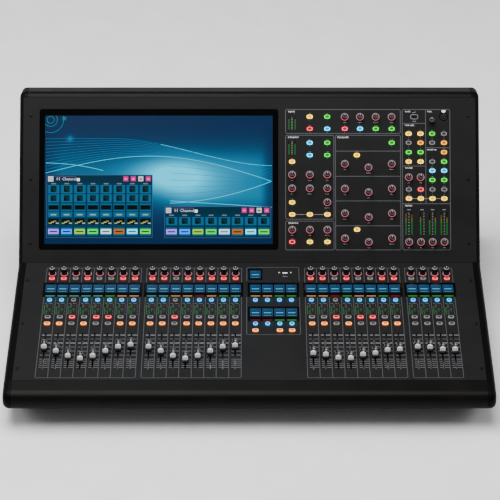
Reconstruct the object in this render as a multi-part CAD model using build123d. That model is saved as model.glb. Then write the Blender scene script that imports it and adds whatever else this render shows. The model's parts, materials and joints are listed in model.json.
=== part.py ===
from build123d import *
from math import cos, radians, sin, tan
import os

# Mixing console: a sloping fader deck in front of a steep bridge that holds the screen.
# Millimetres, +Z up, the operator stands on the -Y side. The origin is on the floor, at the
# centre of the whole object's box. Deck and bridge meet in a line called the crease.

os.makedirs("parts", exist_ok=True)

# --- side form ---------------------------------------------------------------------------
CREASE_HEIGHT = 127.0
DECK_TILT = 6.0
DECK_LENGTH = 376.0
BAND_LENGTH = 27.0
BAND_TILT = 12.0
NOSE_RADIUS = 21.0
BELLY_TILT = 20.0
BELLY_RADIUS = 30.0
BRIDGE_TILT = 54.0
BRIDGE_LENGTH = 346.0
TOP_RADIUS = 16.0
LID_TILT = 15.0
LID_LENGTH = 50.0
LID_RADIUS = 30.0
COWL_RADIUS = 25.0
REAR_REACH = 322.0
REAR_HEIGHT = 289.0
REAR_FOOT_RADIUS = 14.0
CREASE_RADIUS = 4.0
FOOT_HEIGHT = 12.0

# --- sheets and side cheeks --------------------------------------------------------------
PANEL = 3.0
SKIN = 3.0
REAR_SHEET = 2.5
PAN_SHEET = 2.0
CHEEK = 17.0
CHEEK_ROUND = 12.0
CHEEK_RIM = 10.0
CHEEK_WALL = 5.0
BRIDGE_LAP = 9.0
LEDGE_WIDTH = 16.0
LEDGE_DEPTH = 8.0
LEDGE_MARGIN = 20.0
JOINT_GAP = 0.3

# --- channel strips, distances down the deck from the crease -------------------------------
CHANNEL_PITCH = 24.5
BANK_GAP = 11.25
CENTRE_GAP = 16.1
SIDE_MARGIN = 56.9
BANKS = [8, 8, 4, 8, 4]
CENTRE_BANK = 2
KNOB_ROW = 38.0
ASSIGN_ROW = 55.7
WINDOW_TOP = 68.4
WINDOW_LENGTH = 46.2
WINDOW_OVERHANG = 3.4
STRIP_DISPLAY_LAP = 1.0
STRIP_DISPLAY_DEPTH = 5.0
SELECT_ROW = 126.8
MUTE_ROW = 181.8
SOLO_ROW = 202.6
FADER_ZERO = 237.6
FADER_TRAVEL = 100.0
SECOND_WINDOW_TOP = 146.5
SECOND_SELECT_ROW = 203.0
CENTRE_SOLO_ROW = 224.0
CENTRE_SOLO_COLUMNS = [0, 2, 3]
SMALL_WINDOW = (29.0, 37.0)
SMALL_WINDOW_ROW = 40.0
DECK_PORT_ROW = 34.5
DECK_PORT_SIZE = (35.0, 17.0, 3.0)
DECK_PORT_HOLE = (12.5, 4.6)
DECK_PORT_TONGUE = (11.0, 1.8, 1.0)
DATA_DEPTH = 18.0
DATA_ROOM = 12.0
DECK_SCREW_ROWS = [61.4, 201.3, 341.7]

# where each fader's cap rests, measured down from the top of its travel
FADER_REST = [39, 52, 67, 75, 67, 52, 39, 33,
              39, 52, 67, 75, 67, 52, 39, 35,
              59, 63, 73, 74, 63, 59, 49, 47,
              39, 40.5, 47, 47]

# --- bridge, distances up from the crease and right from the screen's right edge -----------
SCREEN_GLASS = (498.5, 295.6)
SCREEN_CORNER = 6.0
SCREEN_MARGIN = 25.6
SCREEN_ROW = 26.7
SCREEN_DEPTH = 12.0
SCREEN_LAP = 6.0
BRIDGE_SCREW_ROWS = [40.6, 174.6, 308.0]
BRIDGE_KNOBS = [(139.1, 305.6), (171.0, 305.6), (203.9, 305.6), (237.1, 305.6),
                (29.0, 184.0), (65.9, 184.0), (102.4, 184.0),
                (29.0, 155.3), (65.9, 155.3), (102.4, 155.3), (102.4, 126.0),
                (29.0, 68.6), (65.9, 68.6), (102.4, 68.6),
                (139.1, 206.8), (139.1, 154.7), (139.1, 102.9), (139.1, 50.6),
                (237.1, 206.8), (237.1, 154.7), (237.1, 102.9), (237.1, 50.6),
                (188.5, 199.2), (188.5, 147.2), (188.5, 94.9), (188.5, 42.9),
                (272.5, 43.0), (297.2, 43.0), (321.5, 43.0), (346.2, 43.0)]
PHONES_A_KNOB = (272.5, 178.5)
PHONES_B_KNOB = (297.2, 178.5)
TALKBACK_KNOB = (320.4, 297.5)
BRIDGE_BUTTONS = [(65.9, 305.6), (102.4, 305.6),
                  (65.9, 280.1), (102.4, 280.1), (139.1, 280.1), (171.0, 280.1),
                  (203.9, 280.1), (237.1, 280.1),
                  (272.5, 269.7), (297.2, 269.7), (321.5, 269.7), (346.2, 269.7),
                  (65.9, 250.7), (102.4, 250.7), (237.1, 250.7),
                  (272.5, 250.7), (297.2, 250.7), (321.5, 250.7), (346.2, 250.7),
                  (272.5, 230.8), (297.2, 230.8), (346.2, 230.8),
                  (65.9, 224.7), (102.4, 224.7), (164.1, 224.7),
                  (29.0, 211.0), (272.5, 211.0), (297.2, 211.0), (321.5, 211.0), (346.2, 211.0),
                  (321.5, 192.1), (346.2, 192.1), (321.5, 172.5), (346.2, 172.5),
                  (272.5, 152.6), (297.2, 152.6), (321.5, 152.6), (346.2, 152.6),
                  (272.5, 133.6), (297.2, 133.6), (321.5, 133.6), (346.2, 133.6),
                  (29.0, 125.6), (29.0, 100.3), (65.9, 100.3), (102.4, 100.3),
                  (164.1, 68.6), (29.0, 42.9), (65.9, 42.9), (102.4, 42.9)]
TALKBACK_SOCKET = (345.9, 306.0)
BRIDGE_PORT = (284.5, 305.5)
BRIDGE_PORT_SIZE = (13.0, 8.0, 3.5)
BRIDGE_PORT_HOLE = (8.4, 2.7)
BRIDGE_PORT_TONGUE = (6.6, 0.7, 0.0)

# --- controls ----------------------------------------------------------------------------
SCREW_HEAD = (3.2, 1.6)
SCREW_SHANK = (1.5, 9.0)
SCREW_SOCKET = (1.2, 1.0)
SCREW_HOLE = 0.2
SCREW_INSET = 7.5
BUTTON_RISE = 3.0
BUTTON_DEPTH = 6.0
BUTTON_TRAVEL = 1.2
BUTTON_GAP = 0.4
BUTTON_SIZE = (13.0, 9.5, 3.2)
ASSIGN_SIZE = (12.0, 9.0, 2.5)
SELECT_SIZE = (11.0, 11.0, 5.4)
KNOB_RADIUS = 6.0
KNOB_HEIGHT = 15.0
KNOB_LIFT = 0.6
SHAFT_RADIUS = 3.0
SHAFT_CLEARANCE = 0.05
BUSH_RADIUS = 4.5
ENCODER_SIZE = 12.0
ENCODER_DEPTH = 8.0
BOARD = 1.6
BOARD_DEPTH = 13.5
BOARD_EDGE_GAP = 2.5
DECK_BOARD_TOP = 26.0
BRIDGE_BOARD_SPAN = (10.0, 364.0)
BRIDGE_BOARD_ROWS = (24.0, 326.0)
SWITCH_SIZE = 6.0
SWITCH_GAP = 0.5

# --- faders ------------------------------------------------------------------------------
CAP_LENGTH = 25.0
CAP_WIDTH = 11.5
CAP_HEIGHT = 13.0
CAP_LIFT = 0.8
CAP_RAKE = 4.5
CAP_SKIRT = 3.0
CAP_SADDLE = 2.5
CAP_SOFT_EDGE = 0.8
SLOT_WIDTH = 3.0
TANG = (1.6, 8.0)
SLOT_END_GAP = 0.5
CARRIAGE = (8.0, 14.0, 6.0)
CARRIAGE_GAP = 0.3
RAIL_WALL = 1.7
RAIL_DEPTH = 12.0
MOTOR_RADIUS = 9.0
MOTOR_LENGTH = 24.0

# --- rear and inside ---------------------------------------------------------------------
PAN_WALL = 30.0
XLR_RADIUS = 11.7
SOCKET_GAP = 0.3
SOCKET_DEPTH = 24.0
FLANGE = (26.0, 31.0, 2.0)
WELL_RADIUS = 9.6
INSERT_RADIUS = 7.4
GROOVE_DEPTH = 12.0
WELL_DEPTH = 14.0
PIN_RADIUS = 1.2
PIN_HOLE_RADIUS = 1.4
PIN_PLACES = [(-3.6, 0.0), (3.6, 0.0), (0.0, -3.8)]
INPUT_COLUMNS = [-60.0, -24.0, 12.0, 48.0, 84.0, 120.0]
OUTPUT_COLUMNS = [156.0, 192.0, 228.0, 264.0]
AUDIO_ROW = 200.0
NETWORK_COLUMNS = [156.0, 184.0, 212.0, 240.0]
NETWORK_ROW = 140.0
NETWORK_SIZE = (16.0, 14.0)
NETWORK_HOLE = (11.8, 8.0)
NETWORK_DEPTH = 20.0
NETWORK_ROOM = 14.0
PHONES_COLUMNS = [300.0, 340.0]
JACK_RADIUS = 3.2
JACK_WALL = 2.0
JACK_LENGTH = 30.0
INLET_PLACE = (-400.0, 90.0)
INLET_SIZE = (30.0, 22.0)
INLET_HOLE = (24.5, 16.5)
INLET_ROOM = 17.0
INLET_BLADE = (2.0, 4.0)
INLET_BLADE_PLACES = [(-7.0, -3.0), (7.0, -3.0), (0.0, 2.0)]
ROCKER_PLACE = (-360.0, 90.0)
ROCKER_FRAME = (17.0, 25.0)
ROCKER_SIZE = (12.4, 18.0, 8.0)
ROCKER_GAP = 0.4
ROCKER_END_GAP = 2.0
ROCKER_HOUSING_DEPTH = 18.0
ROCKER_ROOM = 15.0
ROCKER_SINK = 2.0
ROCKER_ROUND = 1.5
ROCKER_REST = -8.0
FAN_PLACE = (-300.0, 120.0)
FAN_SIZE = 60.0
FAN_DEPTH = 15.0
FAN_HOLE = 28.0
FAN_BLADES = 7
FAN_HUB = (13.0, 10.0)
FAN_BLADE = (15.0, 9.0, 1.4)
FAN_BLADE_TILT = 35.0
FAN_SHAFT = (1.5, 3.0)
FAN_MOUNT_DEPTH = 3.0
FAN_STRUT = (20.0, 4.0)
GRILLE_SLOT = 3.0
GRILLE_PITCH = 6.0
SUPPLY = (110.0, 200.0, 45.0)
SUPPLY_ROUND = 3.0
SUPPLY_OFFSET = 20.0
SUPPLY_REAR_GAP = 45.0
MAIN_BOARD = (420.0, 260.0)
MAIN_BOARD_PLACE = (60.0, 120.0)
STANDOFF = (3.5, 10.0)
STANDOFF_INSET = 8.0
HEAT_SINK = (45.0, 14.0)
HEAT_SINK_COLUMNS = [-80.0, 0.0, 80.0]
FOOT_RADIUS = 20.0

# --- derived -----------------------------------------------------------------------------
FIELD = CHANNEL_PITCH * (sum(BANKS) - 1) + 2 * BANK_GAP + 2 * CENTRE_GAP
INNER = FIELD / 2 + SIDE_MARGIN
WIDTH = 2 * (INNER + CHEEK)
SCREEN_RIGHT = -INNER + SCREEN_MARGIN + SCREEN_GLASS[0]
PAN_FLOOR = FOOT_HEIGHT


def step(start, length, angle):
    """Point at a length from start, along an angle in degrees above +Y."""
    return (start[0] + length * cos(radians(angle)), start[1] + length * sin(radians(angle)))


def side_corners():
    """Sharp corners of the side form as (y, z) with the crease at y = 0, front first."""
    crease = (0.0, CREASE_HEIGHT)
    band = step(crease, DECK_LENGTH, 180 + DECK_TILT)
    half_nose = radians((BAND_TILT + BELLY_TILT) / 2)
    nose = step(band, BAND_LENGTH + NOSE_RADIUS / tan(half_nose), 180 + BAND_TILT)
    belly = (nose[0] + (nose[1] - FOOT_HEIGHT) / tan(radians(BELLY_TILT)), FOOT_HEIGHT)
    turn = TOP_RADIUS * tan(radians(BRIDGE_TILT + LID_TILT) / 2)
    top = step(crease, BRIDGE_LENGTH + turn, BRIDGE_TILT)
    lid = step(top, LID_LENGTH + turn, -LID_TILT)
    rear = (REAR_REACH, REAR_HEIGHT)
    return [crease, band, nose, belly, (REAR_REACH, FOOT_HEIGHT), rear, lid, top]


CORNERS = side_corners()
BAND_START = CORNERS[1]
NOSE_CENTRE = step(step(BAND_START, BAND_LENGTH, 180 + BAND_TILT), NOSE_RADIUS, BAND_TILT - 90)
FRONT = NOSE_CENTRE[0] - NOSE_RADIUS
BELLY = CORNERS[3]
PAN_FRONT = BELLY[0] + 25.0
Y0 = -(FRONT + REAR_REACH) / 2
REAR = REAR_REACH + Y0
CREASE = (0, Y0, CREASE_HEIGHT)

DECK_NORMAL = (0, -sin(radians(DECK_TILT)), cos(radians(DECK_TILT)))
BRIDGE_NORMAL = (0, -sin(radians(BRIDGE_TILT)), cos(radians(BRIDGE_TILT)))
DECK = Plane(origin=CREASE, x_dir=(1, 0, 0), z_dir=DECK_NORMAL).location
BRIDGE = Plane(origin=CREASE, x_dir=(1, 0, 0), z_dir=BRIDGE_NORMAL).location
# in the rear frame x runs to the object's left, y is up and z points out of the back
REAR_FACE = Plane(origin=(0, REAR, 0), x_dir=(-1, 0, 0), z_dir=(0, 1, 0)).location


def bank_columns():
    """Channel centres across the deck, one list per bank."""
    x = -FIELD / 2
    banks = []
    for index, count in enumerate(BANKS):
        banks.append([x + CHANNEL_PITCH * n for n in range(count)])
        beside_centre = CENTRE_BANK in (index, index + 1)
        x = banks[-1][-1] + CHANNEL_PITCH + (CENTRE_GAP if beside_centre else BANK_GAP)
    return banks


COLUMNS = bank_columns()
CENTRE = COLUMNS[CENTRE_BANK]
CHANNELS = [x for index, bank in enumerate(COLUMNS) if index != CENTRE_BANK for x in bank]


def deck_place(x, down, above=0.0):
    """Place on the deck: x across, down the slope from the crease, above the surface."""
    return Pos(x, -down, above)


def bridge_place(x, up, above=0.0):
    """Place on the bridge: x from the screen's right edge, up from the crease."""
    return Pos(SCREEN_RIGHT + x, up, above)


def rear_place(x, height, out=0.0):
    """Place on the back: x in the object's own frame, height over the floor, out of the face."""
    return Pos(-x, height, out)


def save(node, solids):
    """Write one node's solids to its own file."""
    bodies = []
    for solid in solids:
        bodies.extend(solid.solids())
    shape = bodies[0] if len(bodies) == 1 else Compound(children=bodies)
    shape.label = node
    export_step(shape, f"parts/{node}.step")


# --- side form, shells and cheeks ----------------------------------------------------------

def side_face():
    """Outline of the console from the side, in a plane whose x is +Y and whose y is +Z."""
    outline = Polyline([(y + Y0, z) for y, z in CORNERS], close=True)
    face = make_face(outline)
    radii = [CREASE_RADIUS, None, NOSE_RADIUS, BELLY_RADIUS, REAR_FOOT_RADIUS, COWL_RADIUS,
             LID_RADIUS, TOP_RADIUS]
    for (y, z), radius in zip(CORNERS, radii):
        if radius:
            corner = face.vertices().sort_by_distance((y + Y0, z, 0))[0]
            face = fillet(corner, radius)
    return face


SIDE = side_face()


def across(face, x_low, x_high):
    """Side-plane face carried across the console from x_low to x_high."""
    plane = Plane(origin=(x_low, 0, 0), x_dir=(0, 1, 0), z_dir=(1, 0, 0))
    return extrude(plane.location * face, x_high - x_low, dir=(1, 0, 0))


def region(points):
    """Straight-sided face in the side plane, from points with the crease at y = 0."""
    return make_face(Polyline([(y + Y0, z) for y, z in points], close=True))


def slab(frame, half_width, low, high):
    """Blank of a flat panel, from low to high along the frame's y."""
    blank = Pos(0, (low + high) / 2, -PANEL / 2) * Box(2 * half_width, high - low, PANEL)
    return frame * blank


def bridge_half_width():
    return INNER + BRIDGE_LAP


def cheek(side):
    """Side cheek: rounded outside, hollow inside, with ledges that carry deck and bridge."""
    outer = WIDTH / 2
    body = across(SIDE, side * outer, side * INNER) if side < 0 else across(SIDE, INNER, outer)
    rim = body.faces().sort_by(Axis.X)[0 if side < 0 else -1]
    body = fillet(rim.edges(), CHEEK_ROUND)
    hollow = offset(SIDE, -CHEEK_RIM, kind=Kind.INTERSECTION)
    low, high = sorted((side * INNER, side * (outer - CHEEK_WALL)))
    body -= across(hollow, low, high)
    body -= slab(BRIDGE, bridge_half_width(), 0, BRIDGE_LENGTH)
    ledge_x = side * (INNER - LEDGE_WIDTH / 2)
    ledge_z = -PANEL - LEDGE_DEPTH / 2
    deck_run = DECK_LENGTH - 2 * LEDGE_MARGIN
    bridge_run = BRIDGE_LENGTH - 2 * LEDGE_MARGIN
    deck_ledge = Pos(ledge_x, -DECK_LENGTH / 2, ledge_z) * Box(LEDGE_WIDTH, deck_run, LEDGE_DEPTH)
    bridge_ledge = Pos(ledge_x, BRIDGE_LENGTH / 2, ledge_z) * Box(
        LEDGE_WIDTH, bridge_run, LEDGE_DEPTH)
    body += [DECK * deck_ledge, BRIDGE * bridge_ledge]
    return body - screw_shanks(side)


def shell(face_region):
    """Part of the outer skin that lies in a region, carried across between the cheeks."""
    skin = SIDE - offset(SIDE, -SKIN, kind=Kind.INTERSECTION)
    return across(skin & face_region, -INNER + JOINT_GAP, INNER - JOINT_GAP)


def front_bolster():
    """Hand rest: band, round nose and belly as one bent shell."""
    cut = step(BAND_START, JOINT_GAP, 180 + DECK_TILT)
    cut_low = step(cut, 4 * SKIN, DECK_TILT - 90)
    front = FRONT - 10
    back = PAN_FRONT - JOINT_GAP
    above_pan = FOOT_HEIGHT + PAN_WALL
    return shell(region([step(cut, SKIN, DECK_TILT + 90), cut_low, (back, above_pan), (back, 0),
                         (front, 0), (front, BAND_START[1])]))


def cowl_foot():
    """Height of the joint between rear panel and top cowl."""
    return REAR_HEIGHT - COWL_RADIUS


def top_cowl():
    """Bent cover from the bridge's top edge over to the rear panel."""
    start = step((0, CREASE_HEIGHT), BRIDGE_LENGTH + JOINT_GAP, BRIDGE_TILT)
    inside = step(start, 30, BRIDGE_TILT - 90)
    outside = step(start, 30, BRIDGE_TILT + 90)
    above = CORNERS[7][1] + 30
    behind = REAR_REACH + 10
    foot = cowl_foot() + JOINT_GAP
    return shell(region([outside, start, inside, (inside[0], foot), (behind, foot),
                         (behind, above), (outside[0], above)]))


def base_pan():
    """Folded tray that everything inside stands on."""
    front = PAN_FRONT + Y0
    rear = REAR - REAR_SHEET - JOINT_GAP
    width = 2 * (INNER - JOINT_GAP)
    centre = Pos(0, (front + rear) / 2, PAN_FLOOR + PAN_WALL / 2)
    tray = centre * Box(width, rear - front, PAN_WALL)
    room = Pos(0, 0, PAN_SHEET) * centre * Box(
        width - 2 * PAN_SHEET, rear - front - 2 * PAN_SHEET, PAN_WALL)
    return tray - room


# --- panels with their cut-outs ------------------------------------------------------------

def key_outline(size, gap=0.0):
    """Rounded outline of a button, grown by a gap for its hole."""
    wide, deep, corner = size
    return RectangleRounded(wide + 2 * gap, deep + 2 * gap, corner + gap)


def window_places():
    """Each display window of the deck as (x centre, top edge, width, length)."""
    windows = []
    for bank in COLUMNS:
        width = bank[-1] - bank[0] + CHANNEL_PITCH + 2 * WINDOW_OVERHANG
        windows.append(((bank[0] + bank[-1]) / 2, WINDOW_TOP, width, WINDOW_LENGTH))
    x, _, width, length = windows[CENTRE_BANK]
    windows.append((x, SECOND_WINDOW_TOP, width, length))
    small_top = SMALL_WINDOW_ROW - SMALL_WINDOW[1] / 2
    windows.append((CENTRE[0], small_top, SMALL_WINDOW[0], SMALL_WINDOW[1]))
    return windows


def window_outline(window, gap=0.0):
    x, top, width, length = window
    return Pos(x, -(top + length / 2)) * Rectangle(width + 2 * gap, length + 2 * gap)


def deck_port_x():
    """The deck's socket lies between the third and fourth centre columns."""
    return (CENTRE[2] + CENTRE[3]) / 2


def assign_places():
    return [deck_place(x, ASSIGN_ROW) for x in CHANNELS]


def select_places():
    first_rows = [deck_place(x, SELECT_ROW) for x in CHANNELS + CENTRE]
    return first_rows + [deck_place(x, SECOND_SELECT_ROW) for x in CENTRE]


def mute_places():
    return [deck_place(x, MUTE_ROW) for x in CHANNELS]


def solo_places():
    centre = [deck_place(CENTRE[n], CENTRE_SOLO_ROW) for n in CENTRE_SOLO_COLUMNS]
    return [deck_place(x, SOLO_ROW) for x in CHANNELS] + centre


def bridge_button_places():
    return [bridge_place(x, up) for x, up in BRIDGE_BUTTONS]


def deck_knob_places():
    return [deck_place(x, KNOB_ROW) for x in CHANNELS]


def bridge_knob_places():
    return [bridge_place(x, up) for x, up in BRIDGE_KNOBS]


def turning_knob_places():
    """Knobs that are bodies of their own, by node name."""
    return {"phones_a_knob": bridge_place(*PHONES_A_KNOB),
            "phones_b_knob": bridge_place(*PHONES_B_KNOB),
            "talkback_level_knob": bridge_place(*TALKBACK_KNOB)}


def fader_centre():
    return FADER_ZERO + FADER_TRAVEL / 2


def slot_length():
    return FADER_TRAVEL + TANG[1] + 2 * SLOT_END_GAP


def deck_screw_places(side):
    return [Pos(side * (INNER - SCREW_INSET), -down) for down in DECK_SCREW_ROWS]


def bridge_screw_places(side):
    return [Pos(side * (INNER - SCREW_INSET), up) for up in BRIDGE_SCREW_ROWS]


def screw_shanks(side):
    """Clearance holes for the screws of one side, as solids to cut away."""
    radius = SCREW_SHANK[0] + SCREW_HOLE
    drill = Pos(0, 0, -SCREW_SHANK[1] / 2) * Cylinder(radius, SCREW_SHANK[1] + 1)
    deck_holes = [DECK * place * drill for place in deck_screw_places(side)]
    return deck_holes + [BRIDGE * place * drill for place in bridge_screw_places(side)]


def deck_panel():
    """Fader panel with every slot, window, shaft and button hole in one sketch."""
    plate = Pos(0, -DECK_LENGTH / 2) * Rectangle(
        2 * (INNER - JOINT_GAP), DECK_LENGTH - 2 * JOINT_GAP)
    bush = Circle(BUSH_RADIUS + SOCKET_GAP)
    slot = Rot(Z=90) * SlotOverall(slot_length() + SLOT_WIDTH, SLOT_WIDTH)
    holes = [place * bush for place in deck_knob_places()]
    holes += [place * key_outline(ASSIGN_SIZE, BUTTON_GAP) for place in assign_places()]
    holes += [place * key_outline(SELECT_SIZE, BUTTON_GAP) for place in select_places()]
    holes += [place * key_outline(BUTTON_SIZE, BUTTON_GAP) for place in mute_places()]
    holes += [place * key_outline(BUTTON_SIZE, BUTTON_GAP) for place in solo_places()]
    holes += [deck_place(x, fader_centre()) * slot for x in CHANNELS]
    holes += [window_outline(window, JOINT_GAP) for window in window_places()]
    holes.append(deck_place(deck_port_x(), DECK_PORT_ROW) * key_outline(
        DECK_PORT_SIZE, SOCKET_GAP))
    for side in (-1, 1):
        screw = Circle(SCREW_SHANK[0] + SCREW_HOLE)
        holes += [place * screw for place in deck_screw_places(side)]
    return DECK * extrude(plate - holes, -PANEL)


def screen_centre():
    return Pos(SCREEN_RIGHT - SCREEN_GLASS[0] / 2, SCREEN_ROW + SCREEN_GLASS[1] / 2)


def bridge_panel():
    """Bridge panel with the screen opening and the control section's holes."""
    plate = Pos(0, (BRIDGE_LENGTH + JOINT_GAP) / 2) * Rectangle(
        2 * (bridge_half_width() - JOINT_GAP), BRIDGE_LENGTH - JOINT_GAP)
    wide, tall = SCREEN_GLASS
    holes = [screen_centre() * RectangleRounded(
        wide + 2 * JOINT_GAP, tall + 2 * JOINT_GAP, SCREEN_CORNER + JOINT_GAP)]
    bush = Circle(BUSH_RADIUS + SOCKET_GAP)
    knob_places = bridge_knob_places() + list(turning_knob_places().values())
    holes += [place * bush for place in knob_places]
    holes += [place * key_outline(BUTTON_SIZE, BUTTON_GAP) for place in bridge_button_places()]
    holes.append(bridge_place(*TALKBACK_SOCKET) * Circle(XLR_RADIUS + SOCKET_GAP))
    holes.append(bridge_place(*BRIDGE_PORT) * key_outline(BRIDGE_PORT_SIZE, SOCKET_GAP))
    for side in (-1, 1):
        screw = Circle(SCREW_SHANK[0] + SCREW_HOLE)
        holes += [place * screw for place in bridge_screw_places(side)]
    return BRIDGE * extrude(plate - holes, -PANEL)


def rear_panel():
    """Rear plate with the connector holes and the fan grille."""
    low = FOOT_HEIGHT + REAR_FOOT_RADIUS
    high = cowl_foot()
    plate = Pos(0, (low + high) / 2) * Rectangle(2 * (INNER - JOINT_GAP), high - low)
    barrel = Circle(XLR_RADIUS + SOCKET_GAP)
    holes = [rear_place(x, AUDIO_ROW) * barrel for x in INPUT_COLUMNS + OUTPUT_COLUMNS]
    boxes = [(x, NETWORK_ROW, NETWORK_SIZE) for x in NETWORK_COLUMNS]
    boxes.append((*INLET_PLACE, INLET_SIZE))
    boxes.append((*ROCKER_PLACE, ROCKER_FRAME))
    for x, height, (wide, tall) in boxes:
        holes.append(rear_place(x, height) * Rectangle(wide + 2 * SOCKET_GAP,
                                                       tall + 2 * SOCKET_GAP))
    holes += [rear_place(x, AUDIO_ROW) * Circle(JACK_RADIUS + JACK_WALL + SOCKET_GAP)
              for x in PHONES_COLUMNS]
    rows = int(FAN_HOLE / GRILLE_PITCH)
    for n in range(-rows, rows + 1):
        reach = 2 * (FAN_HOLE ** 2 - (n * GRILLE_PITCH) ** 2) ** 0.5
        holes.append(rear_place(FAN_PLACE[0], FAN_PLACE[1] + n * GRILLE_PITCH) * SlotOverall(
            reach, GRILLE_SLOT))
    return REAR_FACE * extrude(plate - holes, -REAR_SHEET)


# --- displays ------------------------------------------------------------------------------

def display_glass():
    """Cover glass of the main screen, flush in the bridge panel."""
    wide, tall = SCREEN_GLASS
    return BRIDGE * screen_centre() * extrude(RectangleRounded(wide, tall, SCREEN_CORNER), -PANEL)


def display_module():
    """Panel, backlight and board of the main screen, in one frame behind the glass."""
    wide, tall = SCREEN_GLASS
    frame = Pos(0, 0, -PANEL - SCREEN_DEPTH / 2) * Box(
        wide + 2 * SCREEN_LAP, tall + 2 * SCREEN_LAP, SCREEN_DEPTH)
    board = Pos(0, 0, -PANEL - SCREEN_DEPTH - 4) * Box(wide / 3, tall / 3, 8)
    return BRIDGE * screen_centre() * (frame + board)


def strip_display_windows():
    """Dark glass over the small channel displays, flush in the deck."""
    return [DECK * extrude(window_outline(window), -PANEL) for window in window_places()]


def strip_display_boards():
    """Display board under each window, held up against the panel."""
    modules = []
    for x, top, width, length in window_places():
        grown = window_outline((x, top, width, length), STRIP_DISPLAY_LAP)
        lifted = Pos(0, 0, -PANEL) * extrude(grown, -STRIP_DISPLAY_DEPTH)
        modules.append(DECK * lifted)
    return modules


# --- buttons, knobs and what is under them -------------------------------------------------

def button(size):
    """Key cap with a softened top edge and a stem below the panel."""
    key = extrude(key_outline(size), BUTTON_RISE + BUTTON_DEPTH)
    key = fillet(key.edges().group_by(Axis.Z)[-1], 1.0)
    return Pos(0, 0, -BUTTON_DEPTH) * key


def button_group(frame, places, size):
    key = button(size)
    return [frame * place * key for place in places]


def knob():
    """Knob with a tapered grip and its own shaft."""
    grip = extrude(Circle(KNOB_RADIUS), KNOB_HEIGHT, taper=3)
    grip = fillet(grip.edges().group_by(Axis.Z)[-1], 1.2)
    shaft_length = KNOB_LIFT + PANEL + ENCODER_DEPTH - 2
    shaft = Pos(0, 0, -shaft_length / 2) * Cylinder(SHAFT_RADIUS, shaft_length)
    return Pos(0, 0, KNOB_LIFT) * (grip + shaft)


def encoder():
    """Rotary encoder: square body under the panel, bush through it, bored for the shaft."""
    body = Pos(0, 0, -PANEL - ENCODER_DEPTH / 2) * Box(ENCODER_SIZE, ENCODER_SIZE, ENCODER_DEPTH)
    bush = Pos(0, 0, -PANEL / 2) * Cylinder(BUSH_RADIUS, PANEL)
    bore_length = PANEL + ENCODER_DEPTH - 1.5
    bore = Pos(0, 0, -bore_length / 2) * Cylinder(SHAFT_RADIUS + SHAFT_CLEARANCE, bore_length)
    return body + bush - bore


def encoder_bodies():
    body = encoder()
    knob_places = bridge_knob_places() + list(turning_knob_places().values())
    deck_bodies = [DECK * place * body for place in deck_knob_places()]
    return deck_bodies + [BRIDGE * place * body for place in knob_places]


def encoder_knobs():
    grip = knob()
    deck_knobs = [DECK * place * grip for place in deck_knob_places()]
    return deck_knobs + [BRIDGE * place * grip for place in bridge_knob_places()]


def switch_top():
    """Depth under the surface at which a pressed button still clears its switch."""
    return -BUTTON_DEPTH - BUTTON_TRAVEL - SWITCH_GAP


def switches(places):
    """Tactile switches that stand on a board, one under each button."""
    height = BOARD_DEPTH + switch_top()
    block = Pos(0, 0, switch_top() - height / 2) * Box(SWITCH_SIZE, SWITCH_SIZE, height)
    return [place * block for place in places]


def deck_board():
    """Board under the buttons of the deck, between the crease and the faders."""
    bottom = fader_centre() - rail_length() / 2 - BOARD_EDGE_GAP
    board = Pos(0, -(DECK_BOARD_TOP + bottom) / 2, -BOARD_DEPTH - BOARD / 2) * Box(
        FIELD + CHANNEL_PITCH, bottom - DECK_BOARD_TOP, BOARD)
    port = deck_place(deck_port_x(), DECK_PORT_ROW, -BOARD_DEPTH) * Box(
        DECK_PORT_SIZE[0] + BOARD_EDGE_GAP, DECK_PORT_SIZE[1] + BOARD_EDGE_GAP, 4 * BOARD)
    places = assign_places() + select_places() + mute_places() + solo_places()
    return DECK * (board - port + switches(places))


def bridge_board():
    """Board under the control section, cut out round the two sockets."""
    left, right = BRIDGE_BOARD_SPAN
    low, high = BRIDGE_BOARD_ROWS
    board = bridge_place((left + right) / 2, (low + high) / 2, -BOARD_DEPTH - BOARD / 2) * Box(
        right - left, high - low, BOARD)
    room = Cylinder(XLR_RADIUS + BOARD_EDGE_GAP / 2, 8 * BOARD)
    socket_room = bridge_place(*TALKBACK_SOCKET, -BOARD_DEPTH) * room
    port_room = bridge_place(*BRIDGE_PORT, -BOARD_DEPTH) * Box(
        BRIDGE_PORT_SIZE[0] + BOARD_EDGE_GAP, BRIDGE_PORT_SIZE[1] + BOARD_EDGE_GAP, 8 * BOARD)
    return BRIDGE * (board - socket_room - port_room + switches(bridge_button_places()))


def main_board():
    """Signal board on stand-offs over the base pan, with heat sinks on its processors."""
    floor = PAN_FLOOR + PAN_SHEET
    wide, deep = MAIN_BOARD
    top = floor + STANDOFF[1] + BOARD
    board = Pos(0, 0, top - BOARD / 2) * Box(wide, deep, BOARD)
    for x in (-1, 1):
        for y in (-1, 1):
            foot = Pos(x * (wide / 2 - STANDOFF_INSET), y * (deep / 2 - STANDOFF_INSET))
            board += Pos(0, 0, floor + STANDOFF[1] / 2) * foot * Cylinder(*STANDOFF)
    for x in HEAT_SINK_COLUMNS:
        board += Pos(x, 0, top + HEAT_SINK[1] / 2) * Box(HEAT_SINK[0], HEAT_SINK[0], HEAT_SINK[1])
    return Pos(MAIN_BOARD_PLACE[0], Y0 + MAIN_BOARD_PLACE[1], 0) * board


def power_supply():
    """Supply in its own case, on the base pan behind the mains inlet."""
    wide, deep, tall = SUPPLY
    case = Box(wide, deep, tall)
    case = fillet(case.edges().filter_by(Axis.Z), SUPPLY_ROUND)
    y = REAR - SUPPLY_REAR_GAP - deep / 2
    return Pos(INLET_PLACE[0] + SUPPLY_OFFSET, y, PAN_FLOOR + PAN_SHEET + tall / 2) * case


# --- faders --------------------------------------------------------------------------------

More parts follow.
